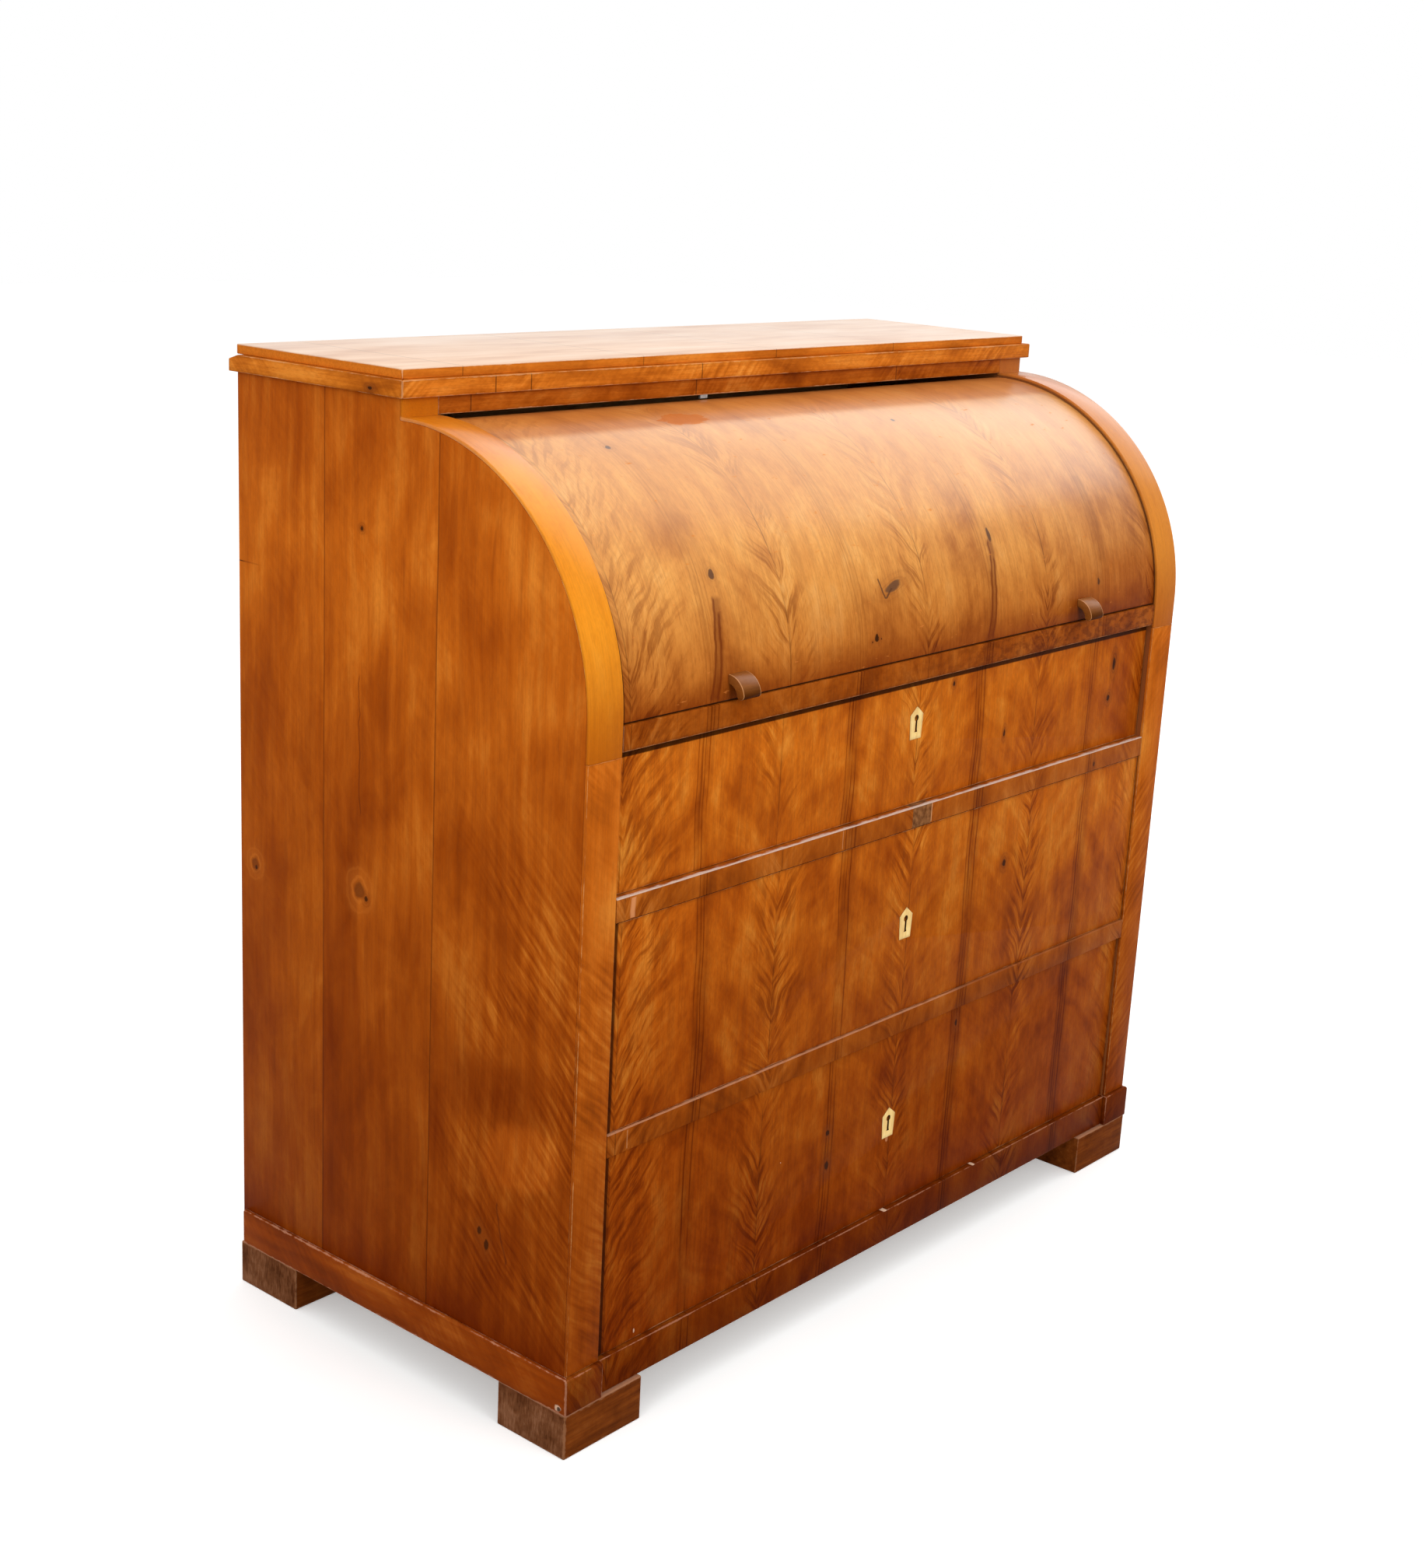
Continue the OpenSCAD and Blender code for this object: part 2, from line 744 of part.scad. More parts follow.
drawer_sides(BOTTOM);  // bottom_drawer_sides
drawer_back(BOTTOM);  // bottom_drawer_back
drawer_bottom(BOTTOM);  // bottom_drawer_bottom
drawer_escutcheon(BOTTOM);  // bottom_drawer_escutcheon
drawer_lock(BOTTOM);  // bottom_drawer_lock
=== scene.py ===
"""A cylinder bureau in flame birch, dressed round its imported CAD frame."""

import json
import math

import bmesh
import bpy
from mathutils import Matrix, Vector

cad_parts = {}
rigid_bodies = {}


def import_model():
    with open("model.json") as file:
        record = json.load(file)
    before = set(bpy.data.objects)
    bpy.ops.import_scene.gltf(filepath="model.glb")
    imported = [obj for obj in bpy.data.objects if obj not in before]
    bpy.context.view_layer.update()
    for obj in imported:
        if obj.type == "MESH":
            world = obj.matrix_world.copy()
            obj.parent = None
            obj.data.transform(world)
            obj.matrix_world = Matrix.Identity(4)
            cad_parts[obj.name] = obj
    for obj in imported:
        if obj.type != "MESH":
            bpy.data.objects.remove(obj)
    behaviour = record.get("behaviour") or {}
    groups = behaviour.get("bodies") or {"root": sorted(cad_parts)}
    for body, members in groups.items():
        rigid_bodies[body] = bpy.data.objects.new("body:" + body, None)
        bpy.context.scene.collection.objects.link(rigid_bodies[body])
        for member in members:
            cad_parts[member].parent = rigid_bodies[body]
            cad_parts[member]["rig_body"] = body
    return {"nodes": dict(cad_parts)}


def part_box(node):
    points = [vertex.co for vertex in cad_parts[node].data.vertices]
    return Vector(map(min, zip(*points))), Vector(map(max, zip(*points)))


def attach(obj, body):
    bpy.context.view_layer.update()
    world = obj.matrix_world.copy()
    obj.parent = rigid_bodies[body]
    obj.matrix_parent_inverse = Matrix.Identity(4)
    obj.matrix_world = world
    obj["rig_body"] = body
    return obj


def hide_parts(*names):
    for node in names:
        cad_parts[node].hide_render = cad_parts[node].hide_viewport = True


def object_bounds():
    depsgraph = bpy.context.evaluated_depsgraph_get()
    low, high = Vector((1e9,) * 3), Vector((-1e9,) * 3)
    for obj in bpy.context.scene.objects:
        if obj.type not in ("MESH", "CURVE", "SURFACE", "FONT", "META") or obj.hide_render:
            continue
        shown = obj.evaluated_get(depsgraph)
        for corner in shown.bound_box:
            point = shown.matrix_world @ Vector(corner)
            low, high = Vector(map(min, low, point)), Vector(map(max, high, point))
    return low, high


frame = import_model()
cad_low, cad_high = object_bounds()

# The front plane of the stiles, and the quarter circle that the rims and the fall follow
FRONT_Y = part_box("stile_left")[0].y
ARC_R = 0.266
ARC_Y = FRONT_Y + ARC_R
RIM_CENTRE_Z = 0.784
FALL_CENTRE_Z = 0.782

# Heights of the frieze, the cornice above it and the desk's top
FRIEZE_LOW = 1.05
FRIEZE_TOP = 1.069
CORNICE_TOP = 1.0875
DESK_TOP = cad_high.z

# Heights of the base's top edge and of the rails' top edges, which stand out as ledges
BASE_TOP = 0.0938
LOWER_LEDGE = 0.3499
UPPER_LEDGE = 0.6037

# The handles' middles lie this far to each side; half the length of a handle
HANDLE_X = 0.33
HANDLE_HALF = 0.014

# How far the feet's edges are eased
FOOT_EDGE = 0.0016

# Veneer leaves on the front: a feather joint every two leaves, a dark streak between
LEAF = 0.1235
FEATHER_X = 0.004

# Veneer leaves on the sides, and where the first of them ends behind the front
SIDE_LEAF = 0.174
SIDE_START = 0.041

# Wood in one leaf, wider than any piece
ONE_LEAF = {"Leaf": 3.0, "Start": -1.5}

# Strength of the light from all round
WORLD_LIGHT = 0.8
WHITE = (1.0, 1.0, 1.0, 1.0)

# Light and own glow of the floor that look white together
FLOOR_WHITE = 1.04

# The camera as found from the photograph, which is 1831 by 2016 pixels: its place, its yaw,
# pitch and roll in degrees, and its focal length in pixels
CAMERA_AT = (-2.057587, -1.689116, 1.328556)
CAMERA_TURN = (49.802, -15.877, 2.952)
FOCAL_LENGTH = 2905.57
LONG_SIDE = 2016
SENSOR = 36.0


def paint(red, green, blue):
    """A colour given as it shows on a screen, 0 to 255, as the linear colour of a shader."""
    parts = [c / 255 for c in (red, green, blue)]
    linear = [c / 12.92 if c < 0.04045 else ((c + 0.055) / 1.055) ** 2.4 for c in parts]
    return (*linear, 1.0)


# Shader node helpers; each works in the node tree of the sockets that it is given


def feed(socket, value):
    """Joins a socket to another, or writes a plain value into it."""
    if isinstance(value, bpy.types.NodeSocket):
        socket.id_data.links.new(value, socket)
    elif value is not None:
        socket.default_value = value


def tree_of(values):
    """The node tree of the first socket among some values."""
    return next(v.id_data for v in values if isinstance(v, bpy.types.NodeSocket))


def add(tree, kind, inputs=None, **settings):
    """A shader node with its settings and its inputs filled in."""
    node = tree.nodes.new(kind)
    for name, value in settings.items():
        setattr(node, name, value)
    for name, value in (inputs or {}).items():
        feed(node.inputs[name], value)
    return node


def calc(operation, *values, clamp=False):
    """A sum on numbers."""
    node = add(tree_of(values), "ShaderNodeMath", dict(enumerate(values)), operation=operation)
    node.use_clamp = clamp
    return node.outputs[0]


def times(first, second, clamp=False):
    """One number times another."""
    return calc("MULTIPLY", first, second, clamp=clamp)


def less(first, second, clamp=False):
    """One number less another."""
    return calc("SUBTRACT", first, second, clamp=clamp)


def scaled(value, factor, offset, clamp=False):
    """A number times a factor, plus an offset."""
    return calc("MULTIPLY_ADD", value, factor, offset, clamp=clamp)


def vcalc(operation, *values):
    """A sum on vectors."""
    inputs = dict(enumerate(values))
    node = add(tree_of(values), "ShaderNodeVectorMath", inputs, operation=operation)
    return node.outputs["Value" if operation == "LENGTH" else "Vector"]


def split(value):
    """The three parts of a vector."""
    return add(value.id_data, "ShaderNodeSeparateXYZ", {0: value}).outputs


def join(x, y, z):
    """A vector made of three parts."""
    return add(tree_of((x, y, z)), "ShaderNodeCombineXYZ", {0: x, 1: y, 2: z}).outputs[0]


def cloud(at, scale, detail=2.0, rough=0.5, warp=0.0):
    """Soft noise between 0 and 1."""
    inputs = {"Vector": at, "Scale": scale, "Detail": detail, "Roughness": rough}
    return add(at.id_data, "ShaderNodeTexNoise", inputs | {"Distortion": warp}).outputs[0]


def grain(at, x, y, z, detail=2.0, rough=0.5, warp=0.0):
    """Soft noise with its own fineness along each of the three directions."""
    return cloud(vcalc("MULTIPLY", at, (x, y, z)), 1.0, detail, rough, warp)


def rise(value, start, end, low=0.0, high=1.0):
    """Goes smoothly from low to high while the value goes from start to end."""
    inputs = {"Value": value, "From Min": start, "From Max": end, "To Min": low, "To Max": high}
    node = add(value.id_data, "ShaderNodeMapRange", inputs, interpolation_type="SMOOTHSTEP")
    return node.outputs[0]


def fade(value, start, end):
    """Goes smoothly from 1 to 0 while the value goes from start to end."""
    return rise(value, start, end, 1.0, 0.0)


def step(value, at):
    """Goes from 0 to 1 within a millimetre."""
    return rise(value, at - 0.0005, at + 0.0005)


def sway(noise, factor, base, clamp=False):
    """A base number that noise moves up and down."""
    return scaled(less(noise, 0.5), factor, base, clamp)


def mix(amount, first, second, mode="MIX"):
    """One colour laid over another."""
    tree = tree_of((amount, first, second))
    node = add(tree, "ShaderNodeMix", data_type="RGBA", blend_type=mode)
    for index, value in ((0, amount), (6, first), (7, second)):
        feed(node.inputs[index], value)
    return node.outputs[2]


def shades(value, stops):
    """A colour ramp."""
    ramp = add(value.id_data, "ShaderNodeValToRGB", {0: value})
    elements = ramp.color_ramp.elements
    elements[0].position, elements[0].color = stops[0]
    elements[1].position, elements[1].color = stops[-1]
    for position, colour in stops[1:-1]:
        elements.new(position).color = colour
    return ramp.outputs[0]


def cleared(owner):
    """The node tree of a material or a world, empty."""
    owner.use_nodes = True
    owner.node_tree.nodes.clear()
    return owner.node_tree


def new_group(name, inputs, outputs):
    """An empty node group with named sockets: its tree, what comes in and what goes out."""
    tree = bpy.data.node_groups.new(name, "ShaderNodeTree")
    for title, value in inputs:
        kind = "NodeSocketVector" if isinstance(value, tuple) else "NodeSocketFloat"
        socket = tree.interface.new_socket(title, in_out="INPUT", socket_type=kind)
        socket.default_value = value
    for title in outputs:
        kind = "NodeSocketVector" if title == "Place" else "NodeSocketFloat"
        tree.interface.new_socket(title, in_out="OUTPUT", socket_type=kind)
    coming = tree.nodes.new("NodeGroupInput").outputs
    going = tree.nodes.new("NodeGroupOutput").inputs
    return tree, coming, going


def use(group, **values):
    """Places a node group; an underscore in a value's name stands for a space."""
    node = add(tree_of(values.values()), "ShaderNodeGroup", node_tree=group)
    for name, value in values.items():
        feed(node.inputs[name.replace("_", " ")], value)
    return node.outputs


# Node groups that the finishes share

HERE = (0.0, 0.0, 0.0)


def make_unrolled_front():
    """Lays the front out flat: x, depth behind the front, and the length up the front."""
    inputs = [("Position", HERE), ("Centre Height", RIM_CENTRE_Z)]
    tree, given, result = new_group("unrolled front", inputs, ["Place"])
    x, y, z = split(given["Position"])
    up = calc("MAXIMUM", less(z, given["Centre Height"]), 0.0)
    forward = less(ARC_Y, y)
    squares = scaled(up, up, times(forward, forward))
    depth = less(ARC_R, calc("SQRT", squares))
    angle = calc("ARCTAN2", up, forward)
    low = calc("MINIMUM", z, given["Centre Height"])
    length = scaled(angle, ARC_R, low)
    feed(result["Place"], join(x, depth, length))
    return tree


def make_flame_figure():
    """Book-matched flame birch: barbs of flame at the feather joints, dark streaks between."""
    inputs = [("Place", HERE), ("Leaf", LEAF), ("Feather", FEATHER_X), ("Slope", 1.5)]
    outputs = ["Dark", "Light", "Far", "Streak", "Joint"]
    tree, given, result = new_group("flame figure", inputs, outputs)
    x, _, s = split(given["Place"])
    leaf, feather = given["Leaf"], given["Feather"]
    from_feather = less(x, feather)
    pair = calc("ROUND", calc("DIVIDE", from_feather, times(leaf, 2.0)))
    seed = times(pair, 2.37)
    wander = cloud(join(seed, 0.0, s), 7.0, 2.0)
    wander = scaled(wander, 0.018, -0.009)
    aside = calc("PINGPONG", calc("ADD", from_feather, wander), leaf)
    spot = join(x, seed, s)
    bend = scaled(cloud(spot, 13.0, 2.0), 0.06, -0.03)
    # The barbs rise steeply beside the joint and lean over further out
    lean = calc("POWER", calc("ADD", aside, 0.004), 0.72)
    climb = times(times(lean, given["Slope"]), 0.42)
    across = calc("ADD", less(s, climb), bend)
    along = scaled(s, given["Slope"], x)
    barbs = join(times(across, 98.0), seed, times(along, 12.0))
    barbs = cloud(barbs, 1.0, 3.0, 0.62)
    # The flames reach further at the left end of the front
    at_end = calc("LESS_THAN", pair, -1.5)
    reach = scaled(at_end, 0.07, 0.034)
    reach = scaled(cloud(spot, 9.0, 1.0), 0.05, reach)
    near = fade(calc("DIVIDE", aside, reach), 0.1, 1.0)
    patch = rise(cloud(spot, 15.0, 2.0), 0.4, 0.6, 0.15, 1.0)
    near = times(near, calc("MAXIMUM", patch, times(at_end, 0.75)))
    feed(result["Dark"], times(rise(barbs, 0.5, 0.63), near))
    feed(result["Light"], times(rise(barbs, 0.5, 0.36), near))
    far = join(times(across, 40.0), seed, times(along, 9.0))
    feed(result["Far"], cloud(far, 1.0, 3.0, 0.55))
    # The streaks lie midway between the feathers, as wavy lines in a darker band
    to_streak = less(from_feather, leaf)
    offset = calc("WRAP", to_streak, leaf, times(leaf, -1.0))
    where = join(calc("ROUND", calc("DIVIDE", to_streak, leaf)), 3.7, s)
    offset = calc("ADD", offset, scaled(cloud(where, 4.2, 2.0), 0.024, -0.012))
    ragged = grain(given["Place"], 90.0, 1.0, 14.0, 3.0, 0.6)
    edge = scaled(ragged, 0.012, calc("ABSOLUTE", offset))
    band = fade(edge, 0.011, 0.024)
    band = times(band, rise(cloud(where, 3.1, 2.0), 0.3, 0.55, 0.3, 1.0))
    total = times(band, 0.42)
    lines = (
        (0.0045, 0.0019, 5.0),
        (-0.0066, 0.0015, 9.0),
        (0.0, 0.0011, 14.0),
        (0.0105, 0.0011, 21.0),
    )
    for shift, half, start in lines:
        line = calc("ABSOLUTE", calc("ADD", offset, shift))
        line = fade(line, half * 0.3, half)
        gate = cloud(vcalc("ADD", where, (start, start, 0.0)), 5.0, 2.0)
        line = times(line, rise(gate, 0.36, 0.52))
        total = scaled(line, 0.6, total)
    feed(result["Streak"], calc("MINIMUM", total, 1.0))
    straight = calc("PINGPONG", from_feather, leaf)
    joint = fade(straight, 0.0003, 0.0013)
    gate = rise(cloud(join(pair, 1.0, s), 14.0, 2.0), 0.36, 0.62, 0.15, 1.0)
    feed(result["Joint"], times(joint, gate))
    return tree


def make_soft_figure():
    """Plain birch: long soft streaks, blotches and a faint cross fire."""
    inputs = [("Place", HERE), ("Leaf", 0.18), ("Start", 0.0), ("Fire", 0.3), ("Mottle", 0.55)]
    tree, given, result = new_group("soft figure", inputs, ["Tone", "Streak", "Joint"])
    x, _, s = split(given["Place"])
    shifted = less(x, given["Start"])
    cell = calc("MAXIMUM", calc("FLOOR", calc("DIVIDE", shifted, given["Leaf"])), 0.0)
    spot = join(x, times(cell, 1.7), s)
    warp = grain(spot, 7.0, 7.0, 3.0, 2.0)
    drift = scaled(warp, 0.05, x)
    bent = join(drift, times(cell, 1.7), s)
    long = grain(bent, 80.0, 1.0, 5.0, 3.0, 0.55)
    wide = grain(bent, 9.0, 1.0, 4.5, 2.5)
    blot = grain(spot, 19.0, 1.0, 9.0, 4.0, 0.6, 0.5)
    slant = scaled(drift, -0.95, s)
    fire = join(times(slant, 118.0), cell, times(x, 26.0))
    fire = less(cloud(fire, 1.0, 2.0), 0.5)
    lit = rise(cloud(spot, 7.0, 1.0), 0.4, 0.58, 0.2, 1.0)
    fire = times(fire, lit)
    tone = sway(long, 0.35, 0.5)
    tone = sway(wide, 0.7, tone)
    tone = sway(blot, given["Mottle"], tone)
    tone = scaled(fire, given["Fire"], tone)
    each = cloud(join(cell, 0.5, 0.5), 3.3, 0.0)
    tone = sway(each, 0.3, tone, clamp=True)
    feed(result["Tone"], tone)
    thin = grain(bent, 120.0, 1.0, 4.0, 2.0)
    gate = rise(cloud(spot, 5.0, 1.0), 0.45, 0.62)
    feed(result["Streak"], times(rise(thin, 0.6, 0.8), gate))
    edge = calc("PINGPONG", shifted, given["Leaf"])
    edge = calc("MINIMUM", edge, less(given["Leaf"], edge))
    edge = fade(edge, 0.0003, 0.0013)
    beyond = calc("GREATER_THAN", shifted, times(given["Leaf"], 0.5))
    feed(result["Joint"], times(edge, beyond))
    return tree


def make_fibre():
    """Fine fibres and short pores along the third direction, and what they do to the surface."""
    inputs = [("Place", HERE), ("Fineness", 1.0)]
    tree, given, result = new_group("wood fibre", inputs, ["Fibre", "Pore", "Height"])
    spot = vcalc("SCALE", given["Place"])
    feed(spot.node.inputs["Scale"], given["Fineness"])
    fibre = grain(spot, 700.0, 700.0, 14.0, 3.0, 0.6)
    coarse = grain(spot, 190.0, 190.0, 7.0, 3.0, 0.65)
    short = grain(spot, 430.0, 430.0, 150.0, 2.0, 0.6)
    fibre = scaled(fibre, 0.35, times(coarse, 0.35))
    fibre = scaled(short, 0.3, fibre)
    pore = grain(spot, 1300.0, 1300.0, 70.0, 1.0)
    pore = rise(pore, 0.66, 0.78)
    feed(result["Fibre"], fibre)
    feed(result["Pore"], pore)
    height = scaled(pore, -0.6, fibre)
    ripple = grain(spot, 26.0, 26.0, 9.0, 2.0)
    feed(result["Height"], scaled(ripple, 3.0, height))
    return tree


def make_edge_wear():
    """Where a piece's edges are: a soft band, and the broken part of it that is rubbed."""
    inputs = [("Place", HERE), ("Low", HERE), ("High", HERE), ("Width", 0.003)]
    tree, given, result = new_group("edge wear", inputs, ["Edge", "Rubbed"])
    below = vcalc("SUBTRACT", given["Place"], given["Low"])
    above = vcalc("SUBTRACT", given["High"], given["Place"])
    a, b, c = split(vcalc("MINIMUM", below, above))
    middle = calc("MINIMUM", calc("MAXIMUM", a, b), c)
    middle = calc("MAXIMUM", calc("MINIMUM", a, b), middle)
    part = calc("DIVIDE", middle, given["Width"])
    feed(result["Edge"], fade(part, 0.0, 1.0))
    breaks = cloud(given["Place"], 95.0, 3.0, 0.65)
    slow = cloud(given["Place"], 14.0, 1.0)
    reach = times(breaks, scaled(slow, 1.4, 0.1))
    rubbed = less(reach, times(part, 0.4))
    feed(result["Rubbed"], rise(rubbed, 0.12, 0.3))
    return tree


def make_knot():
    """A knot: a dark core, and the halo of bent grain round it."""
    inputs = [("Place", HERE), ("At", HERE), ("Radius", 0.006), ("Stretch", 1.5), ("Lean", 0.0)]
    tree, given, result = new_group("knot", inputs, ["Core", "Halo", "Ring"])
    x, _, s = split(vcalc("SUBTRACT", given["Place"], given["At"]))
    x = less(x, times(s, given["Lean"]))
    x = calc("DIVIDE", x, given["Radius"])
    s = calc("DIVIDE", calc("DIVIDE", s, given["Radius"]), given["Stretch"])
    flat = join(x, 0.0, s)
    uneven = cloud(vcalc("ADD", flat, given["At"]), 0.9, 2.0)
    size = scaled(uneven, 0.9, less(vcalc("LENGTH", flat), 0.45))
    feed(result["Core"], fade(size, 0.55, 0.95))
    feed(result["Halo"], fade(size, 0.9, 3.2))
    ring = calc("SINE", times(size, 7.0))
    feed(result["Ring"], times(rise(ring, 0.2, 0.9), fade(size, 0.9, 3.0)))
    return tree


def make_crack():
    """A thin split or joint that runs along the third direction."""
    inputs = [
        ("Place", HERE),
        ("At", HERE),
        ("Length", 0.05),
        ("Width", 0.001),
        ("Lean", 0.0),
        ("Waver", 0.002),
    ]
    tree, given, result = new_group("crack", inputs, ["Line"])
    x, _, s = split(vcalc("SUBTRACT", given["Place"], given["At"]))
    part = calc("DIVIDE", s, given["Length"])
    inside = times(rise(part, 0.0, 0.06), fade(part, 0.94, 1.0))
    wave = cloud(join(0.0, 0.7, calc("DIVIDE", s, 0.02)), 1.0, 2.0)
    wave = times(less(wave, 0.5), given["Waver"])
    x = less(x, times(s, given["Lean"]))
    away = calc("DIVIDE", calc("ABSOLUTE", calc("ADD", x, wave)), given["Width"])
    line = fade(away, 0.35, 1.0)
    feed(result["Line"], times(line, inside))
    return tree


UNROLLED = make_unrolled_front()
FLAME = make_flame_figure()
SOFT = make_soft_figure()
FIBRE = make_fibre()
EDGES = make_edge_wear()
KNOT = make_knot()
CRACK = make_crack()

# Finishes

STREAK_RED = paint(84, 34, 14)
KNOT_BROWN = paint(48, 26, 16)
JOINT_BROWN = paint(70, 34, 14)
WORN_PALE = paint(226, 176, 128)


def turned(laid, x, y, z):
    """The three directions in the order in which a finish is laid; its grain follows the third."""
    return {"side": (y, x, z), "along depth": (z, x, y), "along front": (z, y, x)}[laid]


class Finish:
    """A wood finish under way: its tree, its place on the piece, its colour and its height."""

    def __init__(self, name, laid="front", centre=RIM_CENTRE_Z):
        self.material = bpy.data.materials.new(name)
        self.tree = cleared(self.material)
        self.position = add(self.tree, "ShaderNodeTexCoord").outputs["Object"]
        x, y, z = split(self.position)
        self.x = x
        self.height_above_floor = z
        if laid == "front":
            self.place = use(UNROLLED, Position=self.position, Centre_Height=centre)["Place"]
        else:
            self.place = join(*turned(laid, x, y, z))
        self.colour = None
        self.height = None
        self.flames = None

    def figure(self, tone, stops):
        """The first colour, from the tone of the wood."""
        self.colour = shades(tone, stops)

    def lay(self, mask, colour, strength=1.0, mode="MIX"):
        """Lays a colour over the finish where the mask is."""
        if strength != 1.0:
            mask = times(mask, strength)
        self.colour = mix(mask, self.colour, colour, mode)

    def tint(self, mask, colour, strength):
        """Multiplies the finish by a colour where the mask is."""
        self.lay(mask, (*colour, 1.0), strength, "MULTIPLY")

    def fibre(self, strength=0.25, fineness=1.0, dark=paint(120, 62, 24)):
        """Fine fibres and pores, in colour and in height."""
        out = use(FIBRE, Place=self.place, Fineness=fineness)
        self.lay(rise(out["Fibre"], 0.42, 0.6), dark, strength)
        self.lay(out["Pore"], dark, strength * 1.6)
        self.height = out["Height"]

    def painted_shade_low(self, top, strength, colour=(0.34, 0.2, 0.12)):
        """Paints shade onto the finish towards the floor, where less light reaches."""
        mask = calc("DIVIDE", self.height_above_floor, top)
        mask = less(1.0, mask, clamp=True)
        soft = cloud(self.position, 5.0, 2.0)
        mask = times(mask, scaled(soft, 0.5, 0.75), clamp=True)
        self.tint(mask, colour, strength)

    def knot(self, x, s, radius, stretch, lean=0.0):
        """One knot's core, halo and ring, as masks."""
        values = {"Radius": radius, "Stretch": stretch, "Lean": lean}
        return use(KNOT, Place=self.place, At=(x, 0.0, s), **values)

    def knots(self, spots, core=KNOT_BROWN, halo=paint(120, 58, 22), ring=0.5):
        """Knots, each given by its place, radius, stretch and, if it leans, its lean."""
        for spot in spots:
            out = self.knot(*spot)
            self.lay(out["Halo"], halo, ring * 0.8)
            self.lay(out["Ring"], halo, ring)
            self.lay(out["Core"], core, 0.9)

    def cracks(self, lines, colour=KNOT_BROWN, strength=0.9):
        """Cracks or streaks, each given by its lower end, length, width, lean and waver."""
        for x, s, length, width, lean, waver in lines:
            values = {"Length": length, "Width": width, "Lean": lean, "Waver": waver}
            out = use(CRACK, Place=self.place, At=(x, 0.0, s), **values)
            self.lay(out["Line"], colour, strength)

    def corner(self, end):
        """The low or high corner that the piece carries with it."""
        name = end + "_corner"
        return add(self.tree, "ShaderNodeAttribute", attribute_name=name).outputs["Vector"]

    def behind_face(self):
        """How far a place lies behind the front of its piece."""
        return split(vcalc("SUBTRACT", self.place, self.corner("low")))[1]

    def edges(self, width, colour=WORN_PALE, strength=0.8, grime=0.25, where=1.0):
        """Rubs the edges of a piece, with a wider band of grime under that."""
        ends = {"Low": self.corner("low"), "High": self.corner("high")}
        out = use(EDGES, Place=self.place, Width=width, **ends)
        wide = use(EDGES, Place=self.place, Width=width * 3.0, **ends)
        self.lay(wide["Edge"], paint(92, 40, 16), grime)
        self.lay(times(out["Rubbed"], where), colour, strength)

    def painted_gap_shade(self, direction, end, width, where=1.0):
        """Painted shade in the gap along one edge of the piece's front, near black on the front
        and on faces a few millimetres behind it.
        """
        away = vcalc("ABSOLUTE", vcalc("SUBTRACT", self.place, self.corner(end)))
        mask = fade(split(away)[direction], width * 0.6, width)
        mask = times(mask, fade(self.behind_face(), 0.002, 0.006))
        self.lay(times(mask, where), paint(22, 8, 3), 0.92)

    def chips(self, spots):
        """Small pale chips in the polish, each given by its place, radius and stretch."""
        for spot in spots:
            self.lay(self.knot(*spot)["Core"], paint(226, 190, 160), 0.8)

    def joint_line(self, x, strength, where=None):
        """A joint between two leaves of veneer, square to the desk's length."""
        line = fade(calc("ABSOLUTE", less(self.x, x)), 0.0003, 0.0012)
        if where is not None:
            line = times(line, where)
        self.lay(line, JOINT_BROWN, strength)

    def done(self, roughness=0.3, coat=0.0, coat_roughness=0.1, bump=0.1, ior=1.05):
        """Puts the colour, the gloss and the height on the shader."""
        smudge = cloud(self.position, 16.0, 3.0, 0.6)
        rough = rise(smudge, 0.3, 0.7, roughness - 0.05, roughness + 0.05)
        height = {"Height": self.height, "Strength": bump, "Distance": 0.0004}
        shader = add(self.tree, "ShaderNodeBsdfPrincipled", {
            "Base Color": self.colour,
            "Roughness": rough,
            "Coat Weight": coat,
            "Coat Roughness": coat_roughness,
            "IOR": ior,
            "Normal": add(self.tree, "ShaderNodeBump", height).outputs[0],
        })
        add(self.tree, "ShaderNodeOutputMaterial", {"Surface": shader.outputs[0]})
        return self.material


def palette(*colours, at=(0.26, 0.44, 0.58, 0.78)):
    """The tones of a wood, from dark to light, as the stops of a ramp."""
    return [(stop, paint(*colour)) for stop, colour in zip(at, colours)]


FLAME_STOPS = (0.26, 0.44, 0.56, 0.76)
AMBER = palette((150, 64, 8), (190, 95, 18), (210, 113, 26), (232, 146, 52), at=FLAME_STOPS)
HONEY = palette((170, 98, 36), (210, 138, 62), (225, 155, 74), (238, 177, 100), at=FLAME_STOPS)
RUSSET = palette((126, 56, 8), (166, 82, 16), (184, 98, 26), (206, 124, 50), at=FLAME_STOPS)
RIM = palette((208, 118, 18), (228, 138, 26), (238, 150, 36), (248, 172, 60))
STILE = palette((164, 80, 14), (194, 98, 20), (212, 114, 30), (234, 144, 52))
CORNICE = palette((146, 70, 14), (190, 101, 24), (216, 123, 36), (238, 152, 60))
HANDLE = palette((94, 48, 12), (128, 71, 24), (148, 88, 34), (172, 110, 54))
FOOT = palette((66, 28, 8), (106, 50, 14), (128, 64, 20), (154, 88, 38))
PINE = palette((168, 116, 66), (194, 146, 94), (208, 164, 112), (222, 184, 138))


